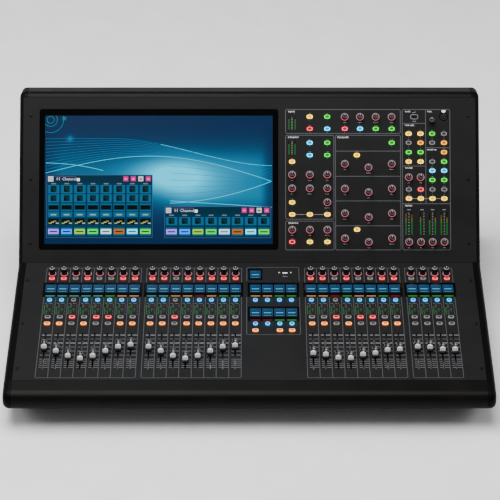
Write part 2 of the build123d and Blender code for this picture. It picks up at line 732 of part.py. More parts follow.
def rail_length():
    return FADER_TRAVEL + CARRIAGE[1] + 2 * (CARRIAGE_GAP + RAIL_WALL)


def fader_rail():
    """Channel section under the panel that guides one carriage."""
    inner = CARRIAGE[0] + 2 * CARRIAGE_GAP
    rail = Pos(0, 0, -PANEL - RAIL_DEPTH / 2) * Box(inner + 2 * RAIL_WALL, rail_length(), RAIL_DEPTH)
    room = Pos(0, 0, -PANEL - (RAIL_DEPTH - RAIL_WALL) / 2) * Box(
        inner, rail_length() - 2 * RAIL_WALL, RAIL_DEPTH - RAIL_WALL)
    return rail - room


def fader_rails():
    rail = fader_rail()
    return [DECK * deck_place(x, fader_centre()) * rail for x in CHANNELS]


def fader_motors():
    """Motor hung under the front end of each rail, its shaft across the slope."""
    depth = -PANEL - RAIL_DEPTH - MOTOR_LENGTH / 2
    down = fader_centre() + rail_length() / 2 - MOTOR_RADIUS
    motor = Cylinder(MOTOR_RADIUS, MOTOR_LENGTH)
    return [DECK * deck_place(x, down, depth) * motor for x in CHANNELS]


def cap_profile():
    """Side outline of a fader cap: raked ends and a finger saddle between two crests."""
    half = CAP_LENGTH / 2
    crest = half - CAP_RAKE
    with BuildSketch() as sketch:
        with BuildLine():
            Polyline((-crest, CAP_HEIGHT), (-half, CAP_SKIRT), (-half, 0), (half, 0), (half, CAP_SKIRT),
                     (crest, CAP_HEIGHT))
            ThreePointArc((crest, CAP_HEIGHT), (0, CAP_HEIGHT - CAP_SADDLE), (-crest, CAP_HEIGHT))
        make_face()
    return sketch.sketch


def fader():
    """One fader: grip cap pushed on a tang that stands on the carriage in the rail."""
    side = Plane(origin=(-CAP_WIDTH / 2, 0, 0), x_dir=(0, 1, 0), z_dir=(1, 0, 0)).location
    cap = extrude(side * cap_profile(), CAP_WIDTH, dir=(1, 0, 0))
    cap = Pos(0, 0, CAP_LIFT) * fillet(cap.edges().filter_by(Axis.Z, reverse=True).filter_by(
        Axis.X, reverse=True).group_by(Axis.Z)[-1], CAP_SOFT_EDGE)
    wide, deep, tall = CARRIAGE
    carriage_top = -PANEL - RAIL_DEPTH + RAIL_WALL + CARRIAGE_GAP + tall
    tang_top = CAP_LIFT + CAP_HEIGHT / 2
    tang = Pos(0, 0, (tang_top + carriage_top) / 2) * Box(*TANG, tang_top - carriage_top)
    carriage = Pos(0, 0, carriage_top - tall / 2) * Box(wide, deep, tall)
    return [cap - tang, tang + carriage]


# --- sockets, fan and power ----------------------------------------------------------------

def barrel(depth):
    """Round connector barrel with its face at z = 0 and a flange behind the panel."""
    body = Pos(0, 0, -depth / 2) * Cylinder(XLR_RADIUS, depth)
    flange = Pos(0, 0, -PANEL - FLANGE[2] / 2) * Box(*FLANGE)
    return body + flange


def female_xlr():
    """Three-hole socket with an annular groove round the insert."""
    middle = Pos(0, 0, -GROOVE_DEPTH / 2)
    ring = Cylinder(WELL_RADIUS, GROOVE_DEPTH) - Cylinder(INSERT_RADIUS, GROOVE_DEPTH)
    hole = middle * Cylinder(PIN_HOLE_RADIUS, GROOVE_DEPTH)
    return barrel(SOCKET_DEPTH) - middle * ring - [Pos(*place) * hole for place in PIN_PLACES]


def male_xlr():
    """Three-pin socket: an open round well with the pins standing in it."""
    well = Pos(0, 0, -WELL_DEPTH / 2) * Cylinder(WELL_RADIUS, WELL_DEPTH)
    pin = Pos(0, 0, -WELL_DEPTH / 2 - 0.5) * Cylinder(PIN_RADIUS, WELL_DEPTH - 1)
    return barrel(SOCKET_DEPTH) - well + [Pos(*place) * pin for place in PIN_PLACES]


def boxed_socket(outline, hole, depth, room):
    """Socket body of a given outline, with an open well of the given room."""
    return extrude(outline, -depth) - Pos(0, 0, -room / 2) * Box(*hole, room)


def data_socket(size, hole, tongue):
    """Data socket with its contact tongue; the tongue is (width, height, rise) in the well."""
    wide, tall, rise = tongue
    reach = DATA_ROOM - 1
    well = boxed_socket(key_outline(size), hole, DATA_DEPTH, DATA_ROOM)
    return well + Pos(0, rise, -DATA_ROOM + reach / 2) * Box(wide, tall, reach)


def inlet():
    """Mains inlet with its three blades in the well."""
    well = boxed_socket(Rectangle(*INLET_SIZE), INLET_HOLE, SOCKET_DEPTH, INLET_ROOM)
    blade = Pos(0, 0, -INLET_ROOM / 2 - 0.5) * Box(*INLET_BLADE, INLET_ROOM - 1)
    return well + [Pos(*place) * blade for place in INLET_BLADE_PLACES]


def phones_jack():
    """Threaded bush with the bore that takes a headphone plug."""
    body = Pos(0, 0, -JACK_LENGTH / 2) * Cylinder(JACK_RADIUS + JACK_WALL, JACK_LENGTH)
    return body - Pos(0, 0, -JACK_LENGTH / 2) * Cylinder(JACK_RADIUS, JACK_LENGTH)


def rocker_housing():
    wide, tall = ROCKER_FRAME
    frame = Pos(0, 0, -ROCKER_HOUSING_DEPTH / 2) * Box(wide, tall, ROCKER_HOUSING_DEPTH)
    room = Pos(0, 0, -ROCKER_ROOM / 2) * Box(
        ROCKER_SIZE[0] + 2 * ROCKER_GAP, ROCKER_SIZE[1] + ROCKER_END_GAP, ROCKER_ROOM)
    return frame - room


def rocker_axis():
    """Depth of the rocker's pivot under the rear face."""
    return ROCKER_SIZE[2] / 2 + ROCKER_SINK


def power_rocker():
    """Rocker paddle, tilted to its off side."""
    paddle = fillet(Box(*ROCKER_SIZE).edges().filter_by(Axis.X), ROCKER_ROUND)
    place = rear_place(*ROCKER_PLACE, -rocker_axis())
    return REAR_FACE * place * (Rot(X=ROCKER_REST) * paddle)


def rear_sockets():
    sockets = [rear_place(x, AUDIO_ROW) * female_xlr() for x in INPUT_COLUMNS]
    sockets += [rear_place(x, AUDIO_ROW) * male_xlr() for x in OUTPUT_COLUMNS]
    network = boxed_socket(Rectangle(*NETWORK_SIZE), NETWORK_HOLE, NETWORK_DEPTH, NETWORK_ROOM)
    sockets += [rear_place(x, NETWORK_ROW) * network for x in NETWORK_COLUMNS]
    sockets += [rear_place(x, AUDIO_ROW) * phones_jack() for x in PHONES_COLUMNS]
    sockets.append(rear_place(*INLET_PLACE) * inlet())
    sockets.append(rear_place(*ROCKER_PLACE) * rocker_housing())
    return [REAR_FACE * socket for socket in sockets]


def panel_sockets():
    """Talkback microphone socket and the two data sockets on the operator's side."""
    talkback = BRIDGE * bridge_place(*TALKBACK_SOCKET) * female_xlr()
    port = data_socket(BRIDGE_PORT_SIZE, BRIDGE_PORT_HOLE, BRIDGE_PORT_TONGUE)
    bridge_port = BRIDGE * bridge_place(*BRIDGE_PORT) * port
    port = data_socket(DECK_PORT_SIZE, DECK_PORT_HOLE, DECK_PORT_TONGUE)
    deck_port = DECK * deck_place(deck_port_x(), DECK_PORT_ROW) * port
    return [talkback, bridge_port, deck_port]


def fan_centre(depth):
    return REAR_FACE * rear_place(*FAN_PLACE, -REAR_SHEET - depth)


def fan_frame():
    """Square fan frame with four struts that carry the motor mount."""
    frame = Box(FAN_SIZE, FAN_SIZE, FAN_DEPTH) - Cylinder(FAN_HOLE, FAN_DEPTH)
    low = Pos(0, 0, -(FAN_DEPTH - FAN_MOUNT_DEPTH) / 2)
    mount = Cylinder(FAN_HUB[0], FAN_MOUNT_DEPTH)
    reach = FAN_HUB[0] - 2 + FAN_STRUT[0] / 2
    for angle in (45, 135, 225, 315):
        mount += Rot(Z=angle) * Pos(reach, 0, 0) * Box(*FAN_STRUT, FAN_MOUNT_DEPTH)
    mount -= Cylinder(FAN_SHAFT[0] + SHAFT_CLEARANCE, FAN_MOUNT_DEPTH)
    return fan_centre(FAN_DEPTH / 2) * (frame + low * mount)


def fan_rotor():
    """Hub with its blades and the shaft that runs in the motor mount."""
    hub = Cylinder(*FAN_HUB)
    reach = FAN_HUB[0] - 1.5 + FAN_BLADE[0] / 2
    for n in range(FAN_BLADES):
        blade = Pos(reach, 0, 0) * Rot(X=FAN_BLADE_TILT) * Box(*FAN_BLADE)
        hub += Rot(Z=n * 360 / FAN_BLADES) * blade
    shaft = Pos(0, 0, -(FAN_HUB[1] + FAN_SHAFT[1]) / 2) * Cylinder(*FAN_SHAFT)
    return fan_centre(FAN_DEPTH / 2 - 1.0) * (hub + shaft)


def feet():
    """Rubber feet under the base pan."""
    foot = Pos(0, 0, FOOT_HEIGHT / 2) * Cylinder(FOOT_RADIUS, FOOT_HEIGHT)
    foot = fillet(foot.edges().group_by(Axis.Z)[0], 2)
    front = PAN_FRONT + Y0 + 2 * FOOT_RADIUS
    rear = REAR - 2 * FOOT_RADIUS
    return [Pos(x, y, 0) * foot for y in (front, rear)
            for x in (-INNER + 2 * FOOT_RADIUS, 0, INNER - 2 * FOOT_RADIUS)]


def screws():
    """Pan-head screws that hold deck and bridge to the cheeks' ledges."""
    head_radius, head_height = SCREW_HEAD
    head = Pos(0, 0, head_height / 2) * Cylinder(head_radius, head_height)
    head = fillet(head.edges().group_by(Axis.Z)[-1], 0.8)
    socket = Pos(0, 0, head_height) * extrude(RegularPolygon(SCREW_SOCKET[0], 6), -SCREW_SOCKET[1])
    shank = Pos(0, 0, -SCREW_SHANK[1] / 2) * Cylinder(SCREW_SHANK[0], SCREW_SHANK[1])
    screw = head + shank - socket
    placed = []
    for side in (-1, 1):
        placed += [DECK * place * screw for place in deck_screw_places(side)]
        placed += [BRIDGE * place * screw for place in bridge_screw_places(side)]
    return placed


def main():
    save("side_cheek_left", [cheek(-1)])
    save("side_cheek_right", [cheek(1)])
    save("base_pan", [base_pan()])
    save("front_bolster", [front_bolster()])
    save("top_cowl", [top_cowl()])
    save("rear_panel", [rear_panel()])
    save("fader_panel", [deck_panel()])
    save("bridge_panel", [bridge_panel()])
    save("display_glass", [display_glass()])
    save("display_module", [display_module()])
    save("strip_display_windows", strip_display_windows())
    save("fader_rails", fader_rails())
    save("fader_motors", fader_motors())
    save("encoder_bodies", encoder_bodies())
    save("encoder_knobs", encoder_knobs())
    save("circuit_boards", [deck_board(), bridge_board(), main_board()] + strip_display_boards())
    save("power_supply", [power_supply()])
    save("rear_sockets", rear_sockets())
    save("panel_sockets", panel_sockets())
    save("fan_frame", [fan_frame()])
    save("feet", feet())
    save("screws", screws())
    save("assign_buttons", button_group(DECK, assign_places(), ASSIGN_SIZE))
    save("select_buttons", button_group(DECK, select_places(), SELECT_SIZE))
    save("mute_buttons", button_group(DECK, mute_places(), BUTTON_SIZE))
    save("solo_buttons", button_group(DECK, solo_places(), BUTTON_SIZE))
    save("bridge_buttons", button_group(BRIDGE, bridge_button_places(), BUTTON_SIZE))
    save("fan_rotor", [fan_rotor()])
    save("power_rocker", [power_rocker()])
    for node, place in turning_knob_places().items():
        save(node, [BRIDGE * place * knob()])
    pieces = fader()
    for number, (x, rest) in enumerate(zip(CHANNELS, FADER_REST), start=1):
        place = DECK * deck_place(x, FADER_ZERO + rest)
        save(f"fader_{number:02d}", [place * piece for piece in pieces])
    print("width", round(WIDTH, 2), "depth", round(REAR_REACH - FRONT, 2))
    print("crease y", round(Y0, 3), "rear y", round(REAR, 3), "front y", round(FRONT + Y0, 3))


main()
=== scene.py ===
import json
import math

import bpy
import numpy as np
from mathutils import Matrix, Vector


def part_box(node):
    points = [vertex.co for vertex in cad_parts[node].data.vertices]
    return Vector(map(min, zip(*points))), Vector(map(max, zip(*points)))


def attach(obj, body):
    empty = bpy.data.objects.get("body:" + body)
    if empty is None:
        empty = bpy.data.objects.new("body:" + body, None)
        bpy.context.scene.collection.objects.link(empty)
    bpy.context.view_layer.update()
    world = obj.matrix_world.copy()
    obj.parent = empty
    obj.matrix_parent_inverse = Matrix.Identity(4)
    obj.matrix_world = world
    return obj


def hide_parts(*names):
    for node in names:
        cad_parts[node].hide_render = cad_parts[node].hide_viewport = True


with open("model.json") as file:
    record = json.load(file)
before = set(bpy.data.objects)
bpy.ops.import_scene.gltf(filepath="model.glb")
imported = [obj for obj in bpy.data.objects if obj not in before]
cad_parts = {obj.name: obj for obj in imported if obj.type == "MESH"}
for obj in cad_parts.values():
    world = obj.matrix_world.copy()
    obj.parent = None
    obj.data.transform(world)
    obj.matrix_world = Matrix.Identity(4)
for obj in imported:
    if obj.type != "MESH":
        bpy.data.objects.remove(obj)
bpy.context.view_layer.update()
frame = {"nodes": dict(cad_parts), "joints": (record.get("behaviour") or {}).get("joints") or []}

# Mixing console. Lengths are millimetres until place() turns them into the frame's metres.
# Deck coordinates are (x across, distance down from the crease, height over the surface);
# bridge coordinates are (x across, distance up from the crease, height over the surface).

MM = 0.001
PANEL = 3.0
PANEL_GAP = 0.3
PRINT = 0.05
TAU = 2 * math.pi


# --- planes and places -------------------------------------------------------------------

def joint_axis(name):
    """Axis of a joint of the frame, as an array."""
    return np.array(next(j["axis"] for j in frame["joints"] if j["name"] == name), float)


def crease_point(up, normal):
    """The line where deck and bridge meet, from the bridge panel's lowest corner."""
    low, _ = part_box("bridge_panel")
    y = low.y / MM - PANEL_GAP * up[1]
    z = low.z / MM - PANEL_GAP * up[2] + PANEL * normal[2]
    return np.array([0.0, y, z])


ACROSS = np.array([1.0, 0.0, 0.0])
BRIDGE_NORMAL = -joint_axis("bridge_buttons_press")
BRIDGE_UP = np.cross(BRIDGE_NORMAL, ACROSS)
DECK_NORMAL = -joint_axis("assign_buttons_press")
DECK_DOWN = -np.cross(DECK_NORMAL, ACROSS)
CREASE = crease_point(BRIDGE_UP, BRIDGE_NORMAL)
DECK = (DECK_DOWN, DECK_NORMAL)
BRIDGE = (BRIDGE_UP, BRIDGE_NORMAL)


def place(plane, points):
    """Plane coordinates in mm to frame coordinates in metres: crease + x, along and out."""
    along, normal = plane
    points = np.asarray(points, float)
    x, s, z = points[..., 0:1], points[..., 1:2], points[..., 2:3]
    return (CREASE + x * ACROSS + s * along + z * normal) * MM


def flat_of(plane, node):
    """A node's vertices in plane coordinates."""
    mesh = frame["nodes"][node].data
    co = np.empty(len(mesh.vertices) * 3)
    mesh.vertices.foreach_get("co", co)
    co = co.reshape(-1, 3) / MM - CREASE
    along, normal = plane
    return np.stack([co @ ACROSS, co @ along, co @ normal], axis=1)


def split(points, axis, gap):
    """Groups of points that lie further apart than the gap along one axis."""
    points = points[np.argsort(points[:, axis])]
    cuts = np.nonzero(np.diff(points[:, axis]) > gap)[0] + 1
    return np.split(points, cuts)


def islands(plane, node, gap=8.0):
    """Boxes (x low, s low, x high, s high) of a node's separate solids, in reading order."""
    groups = [flat_of(plane, node)]
    groups = [g[g[:, 2] > -PANEL] for g in groups]
    for axis in (0, 1, 0, 1):
        groups = [part for group in groups for part in split(group, axis, gap)]
    boxes = [(*g[:, :2].min(0), *g[:, :2].max(0)) for g in groups]
    down = -1 if plane is BRIDGE else 1
    return np.array(sorted(boxes, key=lambda b: (round(down * (b[1] + b[3]) / 4), b[0])))


def centres(plane, node):
    """Centres (x, s) of a node's separate solids, in reading order."""
    boxes = islands(plane, node)
    return (boxes[:, :2] + boxes[:, 2:]) / 2


# --- colours and materials -----------------------------------------------------------------

def linear(code):
    """sRGB hex colour such as 5a6470 to linear red, green, blue and alpha."""
    channels = np.array([int(code[i:i + 2], 16) for i in (0, 2, 4)]) / 255
    low = channels / 12.92
    high = ((channels + 0.055) / 1.055) ** 2.4
    return (*np.where(channels <= 0.04045, low, high), 1.0)


def add(tree, kind, links=(), **settings):
    """Add a node: settings name its properties or input sockets; links are (socket, output)."""
    node = tree.nodes.new(kind)
    for name, value in settings.items():
        if hasattr(node, name):
            setattr(node, name, value)
        else:
            node.inputs[name.replace("_", " ")].default_value = value
    for socket, output in links:
        tree.links.new(output, node.inputs[socket])
    return node


def blank(name):
    """New material with an empty node tree and its output node."""
    material = bpy.data.materials.new(name)
    material.use_nodes = True
    tree = material.node_tree
    tree.nodes.clear()
    return material, tree, tree.nodes.new("ShaderNodeOutputMaterial")


def finish_of(name, dark, light, roughness, grain, depth, metallic=0.0, coat=0.0,
              specular=0.5, spread=0.12, cloud=90.0):
    """Base finish: fine grain bump of a given size and depth in mm, broad clouding of the
    colour between two tones and of the roughness about its middle value."""
    material, tree, output = blank(name)
    where = add(tree, "ShaderNodeTexCoord").outputs["Object"]
    broad = add(tree, "ShaderNodeTexNoise", [("Vector", where)], Scale=1 / (cloud * MM),
                Detail=4.0, Roughness=0.55).outputs["Fac"]
    fine = add(tree, "ShaderNodeTexNoise", [("Vector", where)], Scale=1 / (grain * MM),
               Detail=3.0, Roughness=0.6).outputs["Fac"]
    mixed = add(tree, "ShaderNodeMath", [(0, broad), (1, fine)], operation="ADD")
    tone = add(tree, "ShaderNodeMapRange", [("Value", mixed.outputs[0])], From_Min=0.7,
               From_Max=1.3)
    colour = add(tree, "ShaderNodeMix", [(0, tone.outputs[0])], data_type="RGBA")
    colour.inputs[6].default_value = linear(dark)
    colour.inputs[7].default_value = linear(light)
    rough = add(tree, "ShaderNodeMapRange", [("Value", broad)], From_Min=0.3, From_Max=0.7,
                To_Min=roughness * (1 - spread), To_Max=roughness * (1 + spread))
    bump = add(tree, "ShaderNodeBump", [("Height", fine)], Strength=0.5, Distance=depth * MM)
    shader = add(tree, "ShaderNodeBsdfPrincipled",
                 [("Base Color", colour.outputs[2]), ("Roughness", rough.outputs[0]),
                  ("Normal", bump.outputs[0])], Metallic=metallic, Coat_Weight=coat,
                 Specular_IOR_Level=specular, Coat_Roughness=0.12)
    tree.links.new(shader.outputs[0], output.inputs[0])
    return material


def tinted(name, glow, roughness, coat=0.0, grain=0.8, depth=0.01, base=1.0, specular=0.5):
    """Finish whose colour is the piece's tint attribute, shining by its glow attribute."""
    material, tree, output = blank(name)
    tint = add(tree, "ShaderNodeAttribute", attribute_name="tint")
    where = add(tree, "ShaderNodeTexCoord").outputs["Object"]
    fine = add(tree, "ShaderNodeTexNoise", [("Vector", where)], Scale=1 / (grain * MM),
               Detail=3.0).outputs["Fac"]
    bump = add(tree, "ShaderNodeBump", [("Height", fine)], Strength=0.4, Distance=depth * MM)
    shade = add(tree, "ShaderNodeMapRange", [("Value", fine)], To_Min=0.92 * base,
                To_Max=1.08 * base)
    body = add(tree, "ShaderNodeVectorMath", [(0, tint.outputs["Color"])], operation="SCALE")
    tree.links.new(shade.outputs[0], body.inputs["Scale"])
    rough = add(tree, "ShaderNodeMapRange", [("Value", fine)], To_Min=roughness * 0.9,
                To_Max=roughness * 1.1)
    shader = add(tree, "ShaderNodeBsdfPrincipled",
                 [("Base Color", body.outputs[0]), ("Roughness", rough.outputs[0]),
                  ("Normal", bump.outputs[0])], Specular_IOR_Level=specular, Coat_Weight=coat)
    if glow:
        tree.links.new(tint.outputs["Color"], shader.inputs["Emission Color"])
        strength = add(tree, "ShaderNodeMath", [(0, tint.outputs["Alpha"])],
                       operation="MULTIPLY")
        strength.inputs[1].default_value = glow
        tree.links.new(strength.outputs[0], shader.inputs["Emission Strength"])
    tree.links.new(shader.outputs[0], output.inputs[0])
    return material


# Powder-coated aluminium: sprayed and baked, so a fine even orange peel with a soft sheen.
# The real grain of 0.3 mm is too fine to show and is drawn at 1.2 mm.
POWDER_COAT = finish_of("powder_coated_aluminium", "101011", "151516", 0.5, 1.2, 0.05,
                        specular=0.12)
# The same coat on the hand rest, smoother, so that its round nose carries a faint, clean highlight.
HAND_REST = finish_of("satin_painted_aluminium", "090807", "0d0c0b", 0.36, 1.5, 0.02,
                      specular=0.06)
# Moulded ABS with a spark-eroded texture: darker and duller than the coat beside it.
CHEEK_ABS = finish_of("textured_moulded_abs", "040405", "070708", 0.45, 1.0, 0.05, specular=0.04)
# Zinc-plated steel, painted: flat black with a faint roller texture.
PAN_STEEL = finish_of("painted_folded_steel", "101012", "161618", 0.5, 2.0, 0.03, specular=0.2)
# Chemically toughened glass over a black mask: deep, smooth and mirror-like.
MASK_GLASS = finish_of("black_masked_glass", "010101", "020202", 0.08, 6.0, 0.002, spread=0.3,
                       specular=0.12)
SCREW_STEEL = finish_of("black_zinc_steel", "1c1c1d", "2c2c2e", 0.34, 0.9, 0.01, metallic=1.0)
# Glass-filled nylon of sockets and housings: black with a dry, slightly fibrous surface.
SOCKET_NYLON = finish_of("glass_filled_nylon", "0a0a0b", "121213", 0.5, 0.7, 0.03, specular=0.2)
# Natural rubber feet, pressed in a mould: dull with a chalky bloom.
FOOT_RUBBER = finish_of("moulded_rubber", "151515", "202020", 0.75, 1.4, 0.05, specular=0.3)
# Solder-masked glass-epoxy board: green, smooth over a faint weave.
BOARD_LAMINATE = finish_of("solder_masked_laminate", "0e3a22", "155030", 0.35, 1.8, 0.02)
# Galvanised sheet with its spangle, for rails, motor cans and the supply's case.
GALVANISED = finish_of("galvanised_sheet", "84888a", "a5a9ab", 0.38, 5.0, 0.01, metallic=1.0,
                       cloud=25.0)
# Fan and rocker: moulded PBT, satin black.
FAN_PBT = finish_of("moulded_pbt", "0b0b0c", "141416", 0.4, 1.0, 0.02, specular=0.25)
# Knobs: soft-touch lacquer on ABS, with the grey pointer and a painted rim highlight from the tint
# attribute.
KNOB_LACQUER = tinted("soft_touch_lacquer", 0.0, 0.45, specular=0.2)
# Keys: translucent silicone lit from behind, frosted by the mould, so mostly their own light.
LIT_SILICONE = tinted("lit_translucent_silicone", 1.0, 0.5, base=0.14, specular=0.3)
# Screen-printed ink on the coat, matt and very thin.
PRINTED_INK = tinted("screen_printed_ink", 0.0, 0.6, grain=0.5, specular=0.2)
# Light guides and displays: glossy clear front over a shining layer.
LIT_DISPLAY = tinted("lit_display_layer", 1.0, 0.2, base=0.02, specular=0.2)
# Fader caps: polished ABS with a moulded-in saddle, glossy enough to mirror the soft boxes; their
# brightest highlights are painted into the tint.
CAP_ABS = tinted("polished_cap_abs", 0.0, 0.24, coat=0.2, grain=2.0, depth=0.004, specular=0.4)


# --- meshes --------------------------------------------------------------------------------

def make_piece(name, points, faces, body, slot, material, stands_for=(), tint=None,
               smooth=True, sharp=35.0):
    """Mesh piece from metres and face lists, riding on a body, with its tint on the points."""
    mesh = bpy.data.meshes.new(name)
    mesh.from_pydata(points.reshape(-1, 3).tolist(), [], faces)
    mesh.update()
    if smooth:
        mesh.polygons.foreach_set("use_smooth", np.ones(len(mesh.polygons), bool))
        mesh.set_sharp_from_angle(angle=math.radians(sharp))
    if tint is not None:
        layer = mesh.color_attributes.new("tint", "FLOAT_COLOR", "POINT")
        layer.data.foreach_set("color", np.asarray(tint, np.float32).ravel())
    mesh.materials.append(material)
    piece = bpy.data.objects.new(name, mesh)
    bpy.context.scene.collection.objects.link(piece)
    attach(piece, body)
    if stands_for:
        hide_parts(*stands_for)
    return piece


def skin(rings):
    """Closed skin over rings of equal count, shape (rings, points, 3): quads between rings
    and a fan to a middle point at each end. Returns points and faces."""
    count, around, _ = rings.shape
    ends = np.stack([rings[0].mean(0), rings[-1].mean(0)])
    points = np.concatenate([rings.reshape(-1, 3), ends])
    ring = np.arange(around)
    after = np.roll(ring, -1)
    rows = np.arange(count - 1)[:, None] * around
    quads = np.stack([rows + ring, rows + after, rows + around + after, rows + around + ring],
                     axis=-1).reshape(-1, 4)
    last = (count - 1) * around
    low = np.stack([after, ring, np.full(around, count * around)], axis=1)
    high = np.stack([last + ring, last + after, np.full(around, count * around + 1)], axis=1)
    return points, [*quads.tolist(), *low.tolist(), *high.tolist()]


def repeat(points, faces, moves):
    """The same skin at many places: every point plus each move, faces renumbered."""
    moves = np.asarray(moves, float).reshape(-1, 3)
    copies = points[None] + moves[:, None]
    shifted = []
    for index in range(len(moves)):
        start = index * len(points)
        shifted.extend([[start + corner for corner in face] for face in faces])
    return copies, shifted


def copies_piece(name, plane, shape, spots, body, slot, material, stands_for=(), tint=None,
                 **edges):
    """One mesh of the same skin standing at several places (x, s) of a plane."""
    points, faces = shape
    copies, all_faces = repeat(points, faces, np.column_stack([spots, np.zeros(len(spots))]))
    make_piece(name, place(plane, copies), right_way(plane, all_faces), body, slot, material,
               stands_for, tint, **edges)


def superellipse(half_wide, half_deep, power, around):
    """Rounded outline: |x/a|^n + |y/b|^n = 1, as points round the middle."""
    turn = np.arange(around) / around * TAU
    c, s = np.cos(turn), np.sin(turn)
    x = half_wide * np.sign(c) * np.abs(c) ** (2 / power)
    y = half_deep * np.sign(s) * np.abs(s) ** (2 / power)
    return np.stack([x, y], axis=1)


def turned(profile, around, flute=0.0, flutes=0):
    """Surface of revolution: radius and height along a profile, the radius waved by flutes
    where the profile's third value is 1."""
    profile = np.asarray(profile, float)
    turn = np.arange(around) / around * TAU
    wave = flute * 0.5 * (1 - np.cos(flutes * turn))
    radius = profile[:, 0:1] - profile[:, 2:3] * wave
    height = np.broadcast_to(profile[:, 1:2], radius.shape)
    return np.stack([radius * np.cos(turn), radius * np.sin(turn), height], axis=-1)


def right_way(plane, faces):
    """Deck coordinates are left-handed, so faces made for the bridge are turned round there."""
    return [face[::-1] for face in faces] if plane is DECK else faces


def rgba(code, glow=0.0):
    """Tint of a point: linear colour, with the strength of its light as alpha."""
    return np.array([*linear(code)[:3], glow])


# --- flat prints, lights and pictures ---------------------------------------------------------

CUBE_FACES = [(3, 2, 1, 0), (4, 5, 6, 7), (0, 1, 5, 4), (1, 2, 6, 5), (2, 3, 7, 6), (3, 0, 4, 7)]


class Plates:
    """Collects thin closed plates in plane coordinates, with a tint each."""

    def __init__(self, plane):
        self.plane = plane
        self.rows = []
        self.tints = []

    def put(self, x, s, wide, long, code, glow=0.0, base=0.0, thick=PRINT):
        """Plate or plates about (x, s); x and s may be arrays."""
        x, s = np.broadcast_arrays(np.asarray(x, float), np.asarray(s, float))
        for one_x, one_s in zip(x.ravel(), s.ravel()):
            self.rows.append((one_x, one_s, wide, long, base, thick))
            self.tints.append(rgba(code, glow))

    def box(self, x0, s0, x1, s1, code, glow=0.0, base=0.0, thick=PRINT):
        """Plate between two corners."""
        self.put((x0 + x1) / 2, (s0 + s1) / 2, abs(x1 - x0), abs(s1 - s0), code, glow, base,
                 thick)

    def piece(self, name, body, slot, material):
        """One mesh of all plates: the eight corners of each are its centre plus half sizes."""
        rows = np.array(self.rows)
        signs = np.array([(-1, -1, 0), (1, -1, 0), (1, 1, 0), (-1, 1, 0),
                          (-1, -1, 1), (1, -1, 1), (1, 1, 1), (-1, 1, 1)], float)
        half = rows[:, None, 2:4] / 2 * signs[None, :, :2]
        flat = rows[:, None, :2] + half
        rise = rows[:, None, 4] + rows[:, None, 5] * signs[None, :, 2]
        points = np.concatenate([flat, rise[..., None]], axis=2)
        faces = (np.arange(len(rows))[:, None, None] * 8 + np.array(CUBE_FACES)).reshape(-1, 4).tolist()
        tint = np.repeat(np.array(self.tints), 8, axis=0)
        return make_piece(name, place(self.plane, points), right_way(self.plane, faces), body,
                          slot, material, tint=tint, smooth=False)


def corner_arc(x, s, radius, start):
    """Quarter circle about (x, s), counter-clockwise from a start angle in quarter turns."""
    angle = (np.linspace(0, 1, 6) + start) * math.pi / 2
    return np.array([x, s]) + radius * np.stack([np.cos(angle), np.sin(angle)], axis=1)


def rounded(x0, s0, x1, s1, radius=3.0):
    """Rounded rectangle as a closed path, counter-clockwise."""
    return np.concatenate([corner_arc(x1 - radius, s1 - radius, radius, 0),
                           corner_arc(x0 + radius, s1 - radius, radius, 1),
                           corner_arc(x0 + radius, s0 + radius, radius, 2),
                           corner_arc(x1 - radius, s0 + radius, radius, 3)])


def arch(x0, x1, foot, head, radius=3.0):
    """Open path from a foot up one side, over a head with round corners, and down again."""
    turn = radius if head > foot else -radius
    angle = np.linspace(0, math.pi / 2, 6)
    near = np.stack([x1 - radius + radius * np.cos(angle), head - turn + turn * np.sin(angle)], 1)
    far = np.stack([x0 + radius - radius * np.cos(angle), head - turn + turn * np.sin(angle)], 1)
    return np.concatenate([[(x1, foot)], near, far[::-1], [(x0, foot)]])


def printed_line(path, wide, closed):
    """Flat line: a rectangular section carried along a path, squared off at open ends."""
    if closed:
        before, after = np.roll(path, 1, axis=0), np.roll(path, -1, axis=0)
    else:
        before = np.concatenate([path[:1], path[:-1]])
        after = np.concatenate([path[1:], path[-1:]])
    way = after - before
    way = way / np.linalg.norm(way, axis=1, keepdims=True)
    side = np.stack([way[:, 1], -way[:, 0]], axis=1) * wide / 2
    low, high = np.zeros((len(path), 1)), np.full((len(path), 1), PRINT)
    points = np.stack([np.hstack([path - side, low]), np.hstack([path + side, low]),
                       np.hstack([path + side, high]), np.hstack([path - side, high])], axis=1)
    count = len(path)
    row = np.arange(count if closed else count - 1)[:, None] * 4
    ahead = (row + 4) % (4 * count)
    side_index = np.arange(4)
    beside = np.roll(side_index, -1)
    faces = np.stack([row + side_index, ahead + side_index, ahead + beside, row + beside], -1)
    faces = faces.reshape(-1, 4).tolist()
    if not closed:
        last = 4 * (count - 1)
        faces += [[0, 1, 2, 3], [last + 3, last + 2, last + 1, last]]
    return points.reshape(-1, 3), faces


def lines_piece(name, plane, paths, body, slot, code, wide, material=None, glow=0.0, lift=0.0):
    """One mesh of several printed lines of one colour; each path is (points, closed)."""
    points, faces, start = [], [], 0
    for path, closed in paths:
        line, around = printed_line(np.asarray(path, float), wide, closed)
        faces.extend([[start + corner for corner in face] for face in around])
        points.append(line + (0, 0, lift))
        start += len(line)
    points = np.concatenate(points)
    tint = np.tile(rgba(code, glow), (len(points), 1))
    return make_piece(name, place(plane, points), right_way(plane, faces), body, slot,
                      material or PRINTED_INK, tint=tint, smooth=False)


